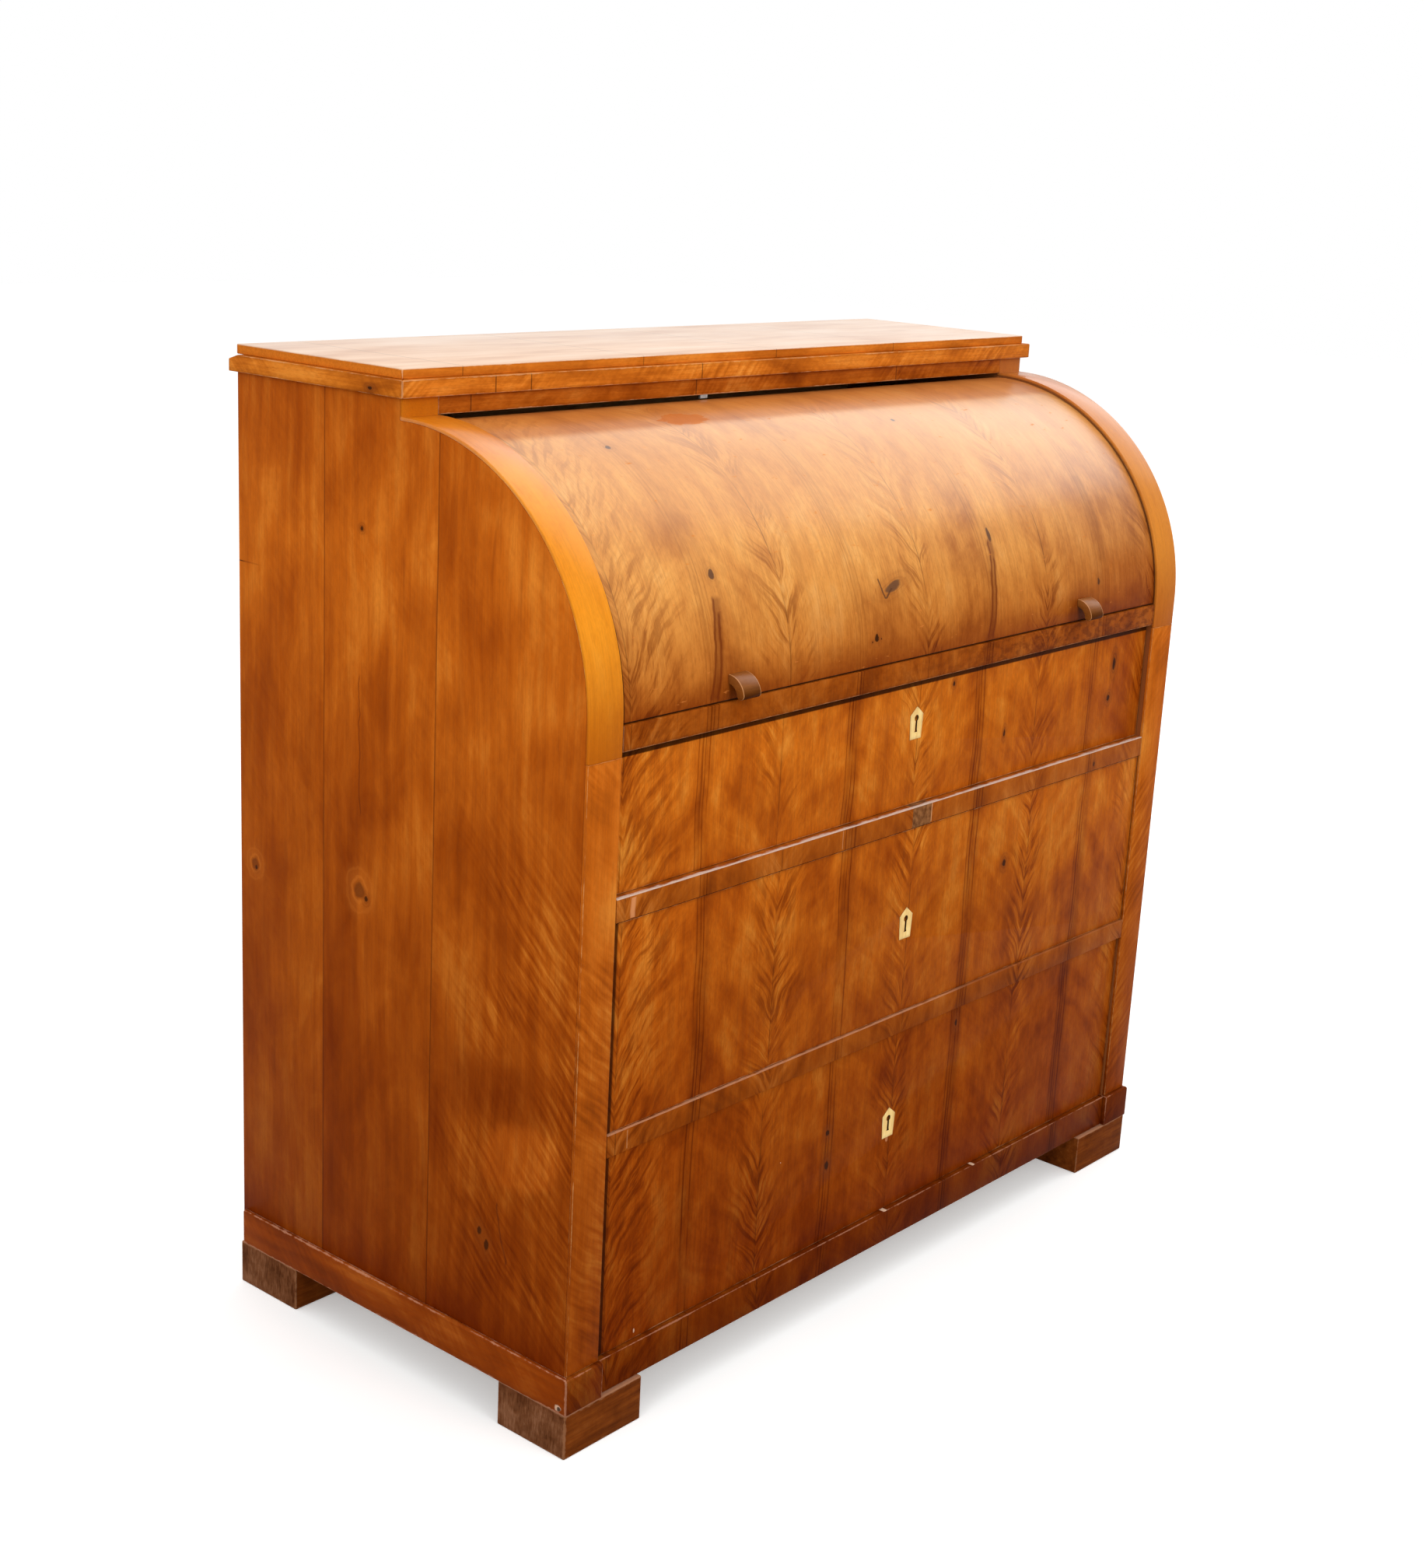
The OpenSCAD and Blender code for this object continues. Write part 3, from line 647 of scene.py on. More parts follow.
def flame_veneer(name, stops, centre=RIM_CENTRE_Z, flames=1.0, streaks=0.9, mottled=1.0):
    """The front's flame birch, continuous from piece to piece."""
    skin = Finish(name, "front", centre)
    figure = use(FLAME, Place=skin.place)
    skin.flames = figure["Dark"]
    mottle = grain(skin.place, 30.0, 1.0, 15.0, 4.0, 0.62)
    broad = grain(skin.place, 7.0, 1.0, 5.0, 2.0)
    tone = sway(figure["Far"], 0.3 * flames, 0.5)
    tone = sway(mottle, 0.75 * mottled, tone)
    tone = sway(broad, 0.65, tone)
    tone = scaled(figure["Light"], 0.16 * flames, tone)
    skin.figure(tone, stops)
    skin.tint(figure["Dark"], (0.42, 0.28, 0.17), 0.78 * flames)
    skin.tint(figure["Streak"], (0.32, 0.19, 0.1), streaks)
    skin.fibre(0.27 * mottled)
    skin.lay(figure["Joint"], JOINT_BROWN, 0.5)
    return skin


def arc(angle, centre=FALL_CENTRE_Z):
    """Length up the front at an angle, in degrees from the horizontal, on the curve."""
    return centre + ARC_R * math.radians(angle)


def make_fall_finish():
    """The fall: honey at the top, partly as a painted sheen, dark and matt where hands reach it.
    """
    skin = flame_veneer("fall veneer", HONEY, FALL_CENTRE_Z, 0.72, 0.35, 0.85)
    x, _, s = split(skin.place)
    # Darker over the lower part, its flames deeper too; the paler honey above is partly a painted
    # sheen
    lower = fade(s, arc(-6), arc(33))
    skin.tint(lower, (0.61, 0.34, 0.09), 0.95)
    skin.tint(times(skin.flames, lower), (0.6, 0.42, 0.3), 0.6)
    # The right end is duller, and deeper near its lower corner
    end = rise(x, 0.22, 0.36)
    skin.tint(times(end, fade(s, arc(42), arc(56))), (0.84, 0.77, 0.8), 0.8)
    corner = times(rise(x, 0.3, 0.42), fade(s, arc(12), arc(20)))
    skin.tint(corner, (0.86, 0.74, 0.6), 0.9)
    # Towards the top a pale veil is painted over the figure and evens it out: a painted sheen
    skin.lay(rise(s, arc(22), arc(58)), paint(214, 148, 82), 0.38)
    # Handling has darkened the lower edge
    grime = scaled(grain(skin.place, 22.0, 1.0, 34.0, 4.0, 0.6), 0.05, s)
    skin.tint(fade(grime, arc(4), arc(15)), (0.56, 0.4, 0.28), 0.88)
    # It is darkest round the handles
    for x_handle in (-HANDLE_X, HANDLE_X):
        rubbed = skin.knot(x_handle, arc(3), 0.016, 0.9)
        skin.tint(rubbed["Halo"], (0.5, 0.36, 0.26), 0.5)
    skin.knots([
        (-0.343, arc(28.5), 0.0056, 1.25),
        (0.118, arc(66), 0.0042, 0.7),
        (0.149, arc(27), 0.0045, 2.4),
        (0.366, arc(9.6), 0.0035, 1.6),
        (-0.37, arc(66), 0.005, 0.8),
    ], paint(82, 48, 28), ring=0.14)
    skin.knots([(-0.0535, arc(18.5), 0.0155, 0.5, 1.3)], paint(98, 64, 42), ring=0.2)
    skin.knots([
        (-0.093, arc(7), 0.0046, 1.2),
        (-0.085, arc(6.6), 0.0012, 1.0),
        (-0.101, arc(6.2), 0.0013, 1.0),
    ], paint(30, 12, 4), ring=0.2)
    # Red streaks rise from the lower edge: a broad one, and thin ones in it
    run = arc(24) - arc(0)
    red = paint(104, 40, 8)
    skin.cracks([
        (-0.364, arc(0), run, 0.0095, 0.15, 0.006),
        (0.129, arc(0), run * 1.1, 0.009, 0.15, 0.006),
    ], red, 0.48)
    skin.cracks([(0.38, arc(14), run * 1.1, 0.012, -0.03, 0.006)], red, 0.2)
    skin.cracks([
        (-0.37, arc(0), run, 0.0024, 0.17, 0.006),
        (-0.359, arc(0), run * 0.85, 0.0026, 0.12, 0.006),
        (0.124, arc(0), run * 1.1, 0.0022, 0.17, 0.006),
        (0.134, arc(0), run * 0.9, 0.0022, 0.13, 0.006),
    ], red, 0.66)
    # A mark like a V beside the middle knot
    skin.cracks([
        (-0.071, arc(15.8), 0.0245, 0.0018, -0.34, 0.003),
        (-0.0705, arc(15.8), 0.011, 0.0028, 1.25, 0.001),
    ], paint(90, 54, 32), 0.85)
    # Near the top the polish has come off in one place
    bare = skin.knot(-0.206, arc(76), 0.017, 0.42)
    ragged = grain(skin.place, 45.0, 1.0, 160.0, 3.0, 0.6)
    bare = rise(scaled(ragged, 2.4, bare["Halo"]), 1.55, 1.75)
    skin.lay(bare, paint(212, 124, 56), 0.6)
    # Under the cornice a deeper band is painted, for the cornice's reflection and the shade under
    # it; the polish is less there too
    cornice_shade_and_reflection = rise(s, arc(71), arc(74.5))
    skin.tint(cornice_shade_and_reflection, (0.8, 0.63, 0.53), 0.92)
    skin.edges(0.0012, strength=0.3)
    # Painted shade in the gaps at the fall's two ends and along its lower edge
    skin.painted_gap_shade(0, "low", 0.0038)
    skin.painted_gap_shade(0, "high", 0.0022)
    skin.painted_gap_shade(2, "low", 0.0016)
    # The polish is worn away towards the lower edge
    polish = rise(s, arc(12), arc(46), 0.02, 0.86)
    polish = times(polish, scaled(bare, -0.8, 1.0))
    polish = times(polish, scaled(cornice_shade_and_reflection, -0.5, 1.0))
    return skin.done(0.36, polish, 0.28, bump=0.06)


def make_drawer_finish():
    """The three drawer fronts, with painted shade in the gaps round them."""
    skin = flame_veneer("drawer veneer", AMBER)
    # Painted shade, darker towards the floor
    skin.painted_shade_low(0.74, 1.04, (0.34, 0.19, 0.11))
    skin.knots([
        (0.4275, 0.712, 0.0046, 2.4),
        (0.421, 0.668, 0.0046, 1.2),
        (0.2, 0.494, 0.0046, 1.4),
        (0.185, 0.66, 0.0025, 2.4),
        (0.07, 0.738, 0.0028, 1.3),
        (-0.12, 0.232, 0.004, 1.3),
        (-0.118, 0.19, 0.0045, 1.8),
        (0.128, 0.302, 0.003, 2.0),
    ])
    # The right end of the top drawer is stained red
    x, behind, s = split(skin.place)
    stain = scaled(grain(skin.place, 40.0, 1.0, 9.0, 3.0), 0.06, x)
    stain = times(rise(stain, 0.44, 0.475), rise(s, 0.59, 0.6))
    skin.tint(stain, (0.74, 0.56, 0.44), 0.35)
    # Away from the middle the veneer is a shade deeper: at the right above, at the left below
    above = rise(s, 0.57, 0.6)
    skin.tint(times(rise(x, 0.15, 0.5), above), (0.77, 0.67, 0.5), 0.8)
    below = less(1.0, above)
    skin.tint(times(fade(x, -0.44, -0.2), below), (0.9, 0.76, 0.6), 0.5)
    skin.edges(0.0014, strength=0.25)
    # Above the top drawer the painted shade in the gap thins out to the right
    thin = calc("MAXIMUM", fade(s, 0.6, 0.61), rise(x, -0.45, 0.0, 0.6, 0.0))
    skin.painted_gap_shade(2, "high", 0.0007, thin)
    # Painted shade in the gaps at the two ends of each front
    skin.painted_gap_shade(0, "low", 0.0022)
    skin.painted_gap_shade(0, "high", 0.0008)
    # Painted shade as dark strips: at the left of the two lower fronts, beside the stile, and on
    # top of the upper one, under the slide
    beside = fade(scaled(behind, -1.15, x), -0.5, -0.4975)
    beside = times(beside, fade(s, 0.58, 0.6))
    skin.lay(times(beside, fade(behind, 0.01, 0.012)), paint(40, 14, 4), 0.85)
    under = times(rise(s, 0.7455, 0.747), fade(behind, 0.012, 0.015))
    skin.lay(under, paint(26, 9, 3), 0.9)
    skin.chips([(-0.442, 0.1035, 0.0014, 2.6), (-0.205, 0.222, 0.0008, 1.4)])
    # The veneer is worn through under the lowest keyhole plate
    worn = skin.knot(-0.001, 0.1867, 0.0032, 1.6)
    skin.lay(worn["Core"], paint(196, 132, 88), 0.7)
    return skin.done(0.34, bump=0.12)


def make_rail_finish():
    """The two rails between the drawers."""
    skin = flame_veneer("rail veneer", RUSSET)
    # Painted shade, darker towards the floor
    skin.painted_shade_low(0.8, 0.75)
    x, depth, s = split(skin.place)
    # The repair patch on the upper rail
    patch = times(rise(x, -0.0064, -0.0056), fade(x, 0.0296, 0.0304))
    patch = times(patch, rise(s, 0.56, 0.57))
    patch = times(patch, fade(s, 0.62, 0.63))
    greys = palette((84, 50, 26), (150, 102, 62), at=(0.3, 0.7))
    skin.lay(patch, shades(cloud(skin.place, 150.0, 3.0), greys), 0.9)
    skin.cracks([(0.031, 0.5805, 0.0235, 0.0011, 0.0, 0.0008)], WORN_PALE, 0.6)
    skin.cracks([
        (-0.137, 0.581, 0.0225, 0.0009, 0.0, 0.001),
        (-0.472, 0.327, 0.022, 0.0008, 0.0, 0.001),
    ], WORN_PALE, 0.3)
    skin.cracks([(-0.478, 0.58, 0.0225, 0.0048, 0.03, 0.003)], paint(214, 142, 92), 0.85)
    skin.knots([(0.386, 0.588, 0.0022, 2.0)])
    # The ledges along the rails' top edges are painted pale: rubbed, and a painted highlight of
    # the light from above on them
    rough = grain(skin.place, 34.0, 120.0, 1.0, 3.0, 0.65)
    front = fade(scaled(rough, 0.012, depth), 0.0075, 0.0115)
    upper = times(step(s, UPPER_LEDGE), front)
    skin.lay(upper, paint(216, 196, 182), 0.85)
    lower = times(step(s, LOWER_LEDGE), fade(s, 0.36, 0.361))
    # The lower ledge's pale band is weaker from the middle to the right
    lower = times(lower, rise(x, 0.06, 0.16, 1.0, 0.2))
    skin.lay(times(lower, front), paint(196, 142, 108), 0.7)
    return skin.done(0.36, bump=0.15)


def make_slide_finish():
    """The writing slide."""
    skin = flame_veneer("slide veneer", RUSSET)
    x, depth, _ = split(skin.place)
    grime = grain(skin.place, 60.0, 1.0, 110.0, 4.0, 0.65)
    grime = times(rise(grime, 0.42, 0.6), rise(x, -0.1, 0.3, 0.3, 1.0))
    # The front edge is the part that shows: grimy in patches, more so to the right, and darker all
    # over
    front = fade(depth, 0.015, 0.045)
    skin.tint(times(grime, front), (0.52, 0.44, 0.38), 0.85)
    skin.tint(front, (0.8, 0.74, 0.68), 0.9)
    skin.edges(0.0014, strength=0.2, grime=0.4)
    return skin.done(0.36, bump=0.12)


def make_base_finish():
    """The base rail and the corner blocks."""
    skin = flame_veneer("base veneer", AMBER)
    # Painted shade, darker towards the floor, in two layers
    skin.painted_shade_low(0.3, 1.0)
    skin.painted_shade_low(0.5, 0.8, (0.3, 0.16, 0.08))
    skin.edges(0.0016, paint(190, 132, 102), 0.48)
    skin.chips([(0.187, BASE_TOP, 0.0038, 0.3), (0.0, BASE_TOP, 0.0044, 0.22)])
    return skin.done(0.36, bump=0.15)


def make_rim_finish():
    """The bent rims: smooth, yellow, and as dark as the stiles at their lower ends."""
    skin = Finish("rim veneer", "front")
    out = use(SOFT, Place=skin.place, Fire=0.12, **ONE_LEAF)
    skin.figure(sway(out["Tone"], 0.6, 0.5), RIM)
    x, _, s = split(skin.place)
    skin.tint(fade(s, 0.745, 0.9), (0.62, 0.44, 0.3), 0.95)
    skin.tint(rise(s, 1.0, 1.13), (0.8, 0.66, 0.6), 0.8)
    head = step(skin.height_above_floor, FRIEZE_LOW)
    skin.tint(head, (0.8, 0.72, 0.62), 0.95)
    mottle = grain(skin.place, 60.0, 1.0, 26.0, 4.0, 0.6)
    skin.tint(rise(mottle, 0.5, 0.75), (0.84, 0.76, 0.7), 0.6)
    skin.fibre(0.16)
    # The right rim is duller than the left one
    dull = times(rise(x, 0.2, 0.3), rise(s, 0.74, 0.95, 0.4, 1.0))
    skin.lay(dull, paint(150, 98, 74), 0.34)
    worn = times(rise(s, 0.8, 0.9), rise(s, 0.98, 1.08, 1.0, 0.2))
    skin.edges(0.0009, paint(252, 214, 150), 0.5, 0.24, worn)
    shine = times(rise(s, 0.86, 1.1, 0.02, 0.75), less(1.0, head))
    return skin.done(0.3, shine, 0.22, bump=0.06)


def make_stile_finish():
    """The straight stiles below the rims."""
    skin = Finish("stile veneer", "front")
    x, depth, s = split(skin.place)
    # Flames that fall towards the front edge, on the side of the stile as on its face
    turn = join(calc("ADD", calc("ABSOLUTE", x), depth), 0.0, s)
    out = use(SOFT, Place=turn, Fire=0.8, **ONE_LEAF)
    skin.figure(out["Tone"], STILE)
    skin.lay(out["Streak"], paint(150, 80, 26), 0.3)
    skin.fibre(0.2)
    # Painted shade, darker towards the floor
    skin.painted_shade_low(0.8, 0.92)
    skin.edges(0.0009, paint(236, 178, 112), 0.32, 0.25)
    return skin.done(0.34, bump=0.08)


def make_side_finish():
    """The desk's sides; places along them are given from the front."""
    front = FRONT_Y
    tones = ((142, 58, 6), (174, 82, 14), (196, 100, 22), (226, 134, 44))
    skin = Finish("side veneer", "side")
    y, _, z = split(skin.place)
    # The figure is livelier low down near the front
    fiery = scaled(times(fade(y, front + 0.08, front + 0.24), fade(z, 0.5, 0.72)), 0.85, 0.1)
    out = use(SOFT, Place=skin.place, Leaf=SIDE_LEAF, Start=front + SIDE_START, Fire=fiery)
    skin.figure(out["Tone"], palette(*tones, at=(0.24, 0.44, 0.58, 0.78)))
    skin.lay(out["Streak"], paint(116, 50, 16), 0.3)
    skin.fibre(0.2)
    skin.lay(out["Joint"], JOINT_BROWN, 0.5)
    # Painted shade, darker towards the floor
    skin.painted_shade_low(0.9, 0.9)
    # Towards the cornice a deeper brown is painted, as painted shade under the cornice
    skin.tint(rise(z, 0.9, 1.06), (0.72, 0.58, 0.46), 0.6)
    # A pale wedge near the front, with a dark patch over it
    wedge = skin.knot(front + 0.076, 0.314, 0.025, 0.75, -0.5)
    skin.tint(rise(wedge["Halo"], 0.1, 0.75), (1.32, 1.4, 1.6), 0.85)
    over = skin.knot(front + 0.118, 0.378, 0.044, 0.42, -0.6)
    skin.tint(over["Halo"], (0.58, 0.42, 0.34), 0.6)
    # Darker just above the plinth
    above_plinth = scaled(grain(skin.place, 24.0, 1.0, 8.0, 3.0, 0.6), -0.09, z)
    skin.tint(fade(above_plinth, 0.035, 0.115), (0.66, 0.48, 0.34), 0.8)
    skin.knots([
        (front + 0.507, 0.526, 0.0075, 1.2),
        (front + 0.33, 0.54, 0.0105, 1.2),
    ], paint(120, 58, 16), paint(206, 116, 40), ring=0.3)
    skin.knots([
        (front + 0.505, 0.522, 0.0026, 1.4),
        (front + 0.319, 0.533, 0.0034, 1.3),
        (front + 0.134, 0.212, 0.0038, 1.8),
        (front + 0.123, 0.199, 0.0042, 2.2),
        (front + 0.33, 0.93, 0.003, 1.0),
        (front + 0.533, 0.866, 0.016, 0.03),
    ], paint(62, 30, 10), paint(132, 62, 16))
    skin.cracks([
        (front + 0.093, 0.185, 0.07, 0.0018, 0.25, 0.01),
        (front + 0.33, 0.62, 0.16, 0.0012, 0.02, 0.008),
    ], STREAK_RED, 0.5)
    return skin.done(0.34, bump=0.12)


def make_plinth_finish():
    """The strips of the plinth on the desk's sides, chipped at the front."""
    stops = palette((96, 34, 4), (128, 52, 8), (150, 66, 12), (184, 98, 32))
    skin = Finish("plinth veneer", "along depth")
    skin.figure(use(SOFT, Place=skin.place, Fire=0.3, **ONE_LEAF)["Tone"], stops)
    skin.fibre(0.2)
    # Painted shade, darker towards the floor
    skin.painted_shade_low(0.12, 0.3)
    skin.chips([(0.058, FRONT_Y + 0.006, 0.0048, 1.2)])
    skin.knots([(0.0575, FRONT_Y + 0.0045, 0.0034, 1.0)], ring=0.0)
    skin.edges(0.0022, paint(198, 142, 112), 0.55, 0.2)
    return skin.done(0.34, bump=0.15)


def simple_wood(
    name, laid, stops, fineness=1.0, fibre=0.3, fire=0.1, mottle=0.55, leaves=ONE_LEAF
):
    """Plain sawn wood, with its grain along the piece."""
    skin = Finish(name, laid)
    out = use(SOFT, Place=skin.place, Fire=fire, Mottle=mottle, **leaves)
    skin.figure(out["Tone"], stops)
    skin.fibre(fibre, fineness, stops[0][1])
    if leaves is not ONE_LEAF:
        skin.lay(out["Joint"], JOINT_BROWN, 0.6)
    return skin


def darken_frieze(skin):
    """The frieze, under the cornice, is a shade deeper than the cornice."""
    frieze = fade(skin.height_above_floor, FRIEZE_TOP - 0.0005, FRIEZE_TOP + 0.0005)
    skin.tint(frieze, (0.67, 0.55, 0.46), 0.9)


def make_cornice_finish():
    """The front of the cornice and the frieze, each laid in several leaves."""
    skin = simple_wood("cornice veneer", "along front", CORNICE, 1.0, 0.35, 0.8, 1.0)
    darken_frieze(skin)
    frieze = (FRIEZE_LOW, FRIEZE_TOP + 0.0005)
    cornice = (FRIEZE_TOP, CORNICE_TOP)
    both = (FRIEZE_LOW, CORNICE_TOP)
    z = skin.height_above_floor
    joints = (-0.458, frieze), (-0.431, cornice), (-0.38, cornice), (0.27, frieze), (-0.11, both)
    for x, (low, high) in joints:
        skin.joint_line(x, 0.75, times(rise(z, low - 0.001, low), fade(z, high, high + 0.001)))
    skin.edges(0.0014, strength=0.4)
    return skin.done(0.34, bump=0.12)


def make_cornice_side_finish():
    """The returns of the cornice along the desk's sides."""
    skin = simple_wood("cornice side veneer", "along depth", CORNICE, 1.0, 0.35, 0.7, 1.0)
    skin.knots([(1.078, FRONT_Y + 0.13, 0.003, 1.6), (1.075, FRONT_Y + 0.31, 0.0025, 1.8)])
    skin.edges(0.0014, strength=0.4)
    darken_frieze(skin)
    return skin.done(0.34, bump=0.12)


def make_top_finish():
    """The top board, its upper face pale: faded and dusty, and partly a painted sheen."""
    skin = simple_wood("top veneer", "along front", CORNICE, fire=0.2)
    # The upper face is painted pale: faded and dusty, and partly a painted sheen of the light
    # falling on it
    face = rise(skin.height_above_floor, DESK_TOP - 0.0014, DESK_TOP - 0.0004)
    faded = palette((208, 160, 124), (230, 190, 156), (240, 208, 180), at=(0.3, 0.5, 0.7))
    skin.lay(face, shades(grain(skin.position, 5.0, 26.0, 1.0, 4.0, 0.6), faded), 0.95)
    for x in (-0.47, -0.2, 0.03, 0.26):
        skin.joint_line(x, 0.5)
    skin.edges(0.0014, paint(236, 200, 160), 0.4, 0.15)
    return skin.done(0.34, face, 0.34, 0.05)


def make_foot_finish():
    """The feet, soiled, with a rubbed ledge at half their height."""
    skin = Finish("foot wood", "along front")
    soil = cloud(skin.position, 24.0, 4.0, 0.6)
    tone = less(grain(skin.place, 130.0, 130.0, 9.0, 4.0, 0.6), 0.5)
    skin.figure(scaled(tone, 0.55, scaled(soil, 0.5, 0.25)), FOOT)
    skin.fibre(0.2, 0.8, paint(44, 20, 8))
    # The end grain on the outer sides of the feet is greyer and speckled
    ends = [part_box("foot_front_" + side)[edge].x for side, edge in (("left", 0), ("right", 1))]
    outer_x = max(abs(end) for end in ends) - FOOT_EDGE
    outer = calc("GREATER_THAN", calc("ABSOLUTE", skin.x), outer_x)
    speckle = scaled(soil, 0.6, times(grain(skin.position, 420.0, 420.0, 90.0, 3.0, 0.6), 0.4))
    greys = palette((76, 42, 22), (112, 70, 44), (142, 98, 70), at=(0.38, 0.5, 0.62))
    skin.lay(outer, shades(speckle, greys), 0.85)
    skin.lay(rise(skin.height_above_floor, 0.0502, 0.0512), paint(196, 146, 116), 0.55)
    skin.edges(0.003, paint(166, 116, 80), 0.38, 0.2)
    return skin.done(0.45, bump=0.2)


def make_handle_finish():
    """The hooked handles: dark, with painted shade on the lower part of their lips, and their end
    arrises rubbed pale by hands.
    """
    skin = simple_wood("handle wood", "along front", HANDLE, 1.4, 0.25)
    z = skin.height_above_floor
    from_middle = calc("ABSOLUTE", less(calc("ABSOLUTE", skin.x), HANDLE_X))
    from_end = less(HANDLE_HALF, from_middle)
    # Painted shade darkens the lower part of the lip, but not its two ends
    lip_shade = times(fade(z, 0.787, 0.804), rise(from_end, 0.0002, 0.0016, 0.2, 1.0))
    skin.tint(lip_shade, (0.24, 0.17, 0.12), 0.95)
    # The arrises at the two ends are worn pale
    arris = times(rise(from_end, 0.0001, 0.0004), fade(from_end, 0.0009, 0.0014))
    skin.lay(arris, paint(226, 164, 108), 0.5)
    return skin.done(0.3, rise(z, 0.792, 0.806, 0.0, 0.5), 0.35, bump=0.12)


def make_lining_finish():
    """The linings: pine, with a strip of the front's brown along the fall's curve."""
    skin = simple_wood("lining", "side", PINE, 0.5, 0.35)
    depth = split(use(UNROLLED, Position=skin.position)["Place"])[1]
    skin.lay(fade(depth, 0.03, 0.036), paint(136, 66, 20), 0.9)
    return skin.done(0.55, bump=0.2, ior=1.2)


def make_pine(name, laid, fibre=0.35, **settings):
    """Plain pine for what is hidden or seldom seen."""
    skin = simple_wood("pine, " + name, laid, PINE, 0.5, fibre, **settings)
    return skin.done(0.55, bump=0.2, ior=1.3)


def make_metal(name, dark, light, metallic, roughness):
    """Old iron or tin, dull and spotted."""
    material = bpy.data.materials.new(name)
    tree = cleared(material)
    spots = cloud(add(tree, "ShaderNodeTexCoord").outputs["Object"], 190.0, 4.0, 0.65)
    height = {"Height": spots, "Strength": 0.2, "Distance": 0.0004}
    shader = add(tree, "ShaderNodeBsdfPrincipled", {
        "Base Color": shades(spots, [(0.35, dark), (0.7, light)]),
        "Metallic": metallic,
        "Roughness": rise(spots, 0.3, 0.7, roughness - 0.1, roughness + 0.1),
        "Normal": add(tree, "ShaderNodeBump", height).outputs[0],
    })
    add(tree, "ShaderNodeOutputMaterial", {"Surface": shader.outputs[0]})
    return material


def make_bone():
    """The keyhole plates, yellowed, with the keyholes' walls painted black as shade in the holes.
    """
    skin = Finish("bone", "front")
    speckle = grain(skin.place, 160.0, 160.0, 60.0, 3.0)
    stops = palette((230, 186, 112), (248, 212, 134), (252, 228, 164), at=(0.25, 0.55, 0.8))
    skin.figure(speckle, stops)
    skin.height = speckle
    skin.edges(0.0016, paint(176, 124, 58), 0.4, 0.2)
    # Painted shade: near black on all that lies behind the plates' faces, the keyholes' walls
    # among it
    skin.lay(rise(skin.behind_face(), 0.0002, 0.0005), paint(34, 18, 12), 0.95)
    return skin.done(0.35, bump=0.1, ior=1.25)


BACK_BOARDS = {"Leaf": 0.165, "Start": 0.05}
FINISHES = {
    "fall": make_fall_finish(),
    "drawer": make_drawer_finish(),
    "rail": make_rail_finish(),
    "slide": make_slide_finish(),
    "base": make_base_finish(),
    "rim": make_rim_finish(),
    "stile": make_stile_finish(),
    "side": make_side_finish(),
    "plinth": make_plinth_finish(),
    "cornice": make_cornice_finish(),
    "cornice side": make_cornice_side_finish(),
    "top": make_top_finish(),
    "foot": make_foot_finish(),
    "handle": make_handle_finish(),
    "lining": make_lining_finish(),
    "nest": simple_wood("nest birch", "front", HONEY, 1.0, 0.25).done(0.35, bump=0.12),
    "pine side": make_pine("side", "along depth"),
    "pine back": make_pine("back", "along front"),
    "pine upright": make_pine("upright", "front"),
    "back boards": make_pine("back boards", "along front", 0.4, mottle=0.3, leaves=BACK_BOARDS),
    "bone": make_bone(),
    "iron": make_metal("iron", paint(48, 44, 42), paint(120, 112, 104), 0.8, 0.5),
    "tin": make_metal("tin", paint(150, 150, 148), paint(206, 206, 202), 0.7, 0.4),
}

# Pieces


def laid_out(point, laid, centre):
    """The same place as the finish gives, for the corners of a piece."""
    if laid != "front":
        return turned(laid, *point)
    x, y, z = point
    up, forward = max(z - centre, 0.0), ARC_Y - y
    length = min(z, centre) + ARC_R * math.atan2(up, forward)
    return x, ARC_R - math.hypot(up, forward), length


def carry_corners(data, laid, centre):
    """Writes the piece's lowest and highest corner on it, for the wear of its edges."""
    places = [laid_out(v.co, laid, centre) for v in data.vertices]
    for name, choose in (("low_corner", min), ("high_corner", max)):
        corner = [choose(p[i] for p in places) for i in range(3)]
        layer = data.attributes.new(name, "FLOAT_VECTOR", "POINT")
        layer.data.foreach_set("vector", corner * len(data.vertices))


def eased_shape(node, width, segments):
    """A CAD solid's shape with its sharp edges eased by a width."""
    shape = bmesh.new()
    shape.from_mesh(frame["nodes"][node].data)
    bmesh.ops.remove_doubles(shape, verts=shape.verts, dist=1e-5)
    flat = math.radians(0.3)
    bmesh.ops.dissolve_limit(shape, angle_limit=flat, verts=shape.verts, edges=shape.edges)
    bend = math.radians(28)
    sharp = [e for e in shape.edges if e.is_manifold and e.calc_face_angle(0.0) > bend]
    bmesh.ops.bevel(
        shape, geom=sharp, offset=width, affect="EDGES", segments=segments,
        profile=0.5, material=-1, clamp_overlap=True,
    )
    return shape


def eased_copy(node, width, finish, laid="front", centre=RIM_CENTRE_Z, segments=3, smooth=20.0):
    """An eased copy of a CAD solid, with its finish; it stands for that solid."""
    name = node + "_dressed"
    data = bpy.data.meshes.new(name)
    shape = eased_shape(node, width, segments)
    shape.to_mesh(data)
    shape.free()
    for layer in ("custom_normal", "UVMap"):
        if layer in data.attributes:
            data.attributes.remove(data.attributes[layer])
    data.polygons.foreach_set("use_smooth", [True] * len(data.polygons))
    data.set_sharp_from_angle(angle=math.radians(smooth))
    data.materials.clear()
    data.materials.append(FINISHES[finish])
    carry_corners(data, laid, centre)
    piece = bpy.data.objects.new(name, data)
    bpy.context.scene.collection.objects.link(piece)
    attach(piece, frame["nodes"][node]["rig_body"])
    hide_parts(node)


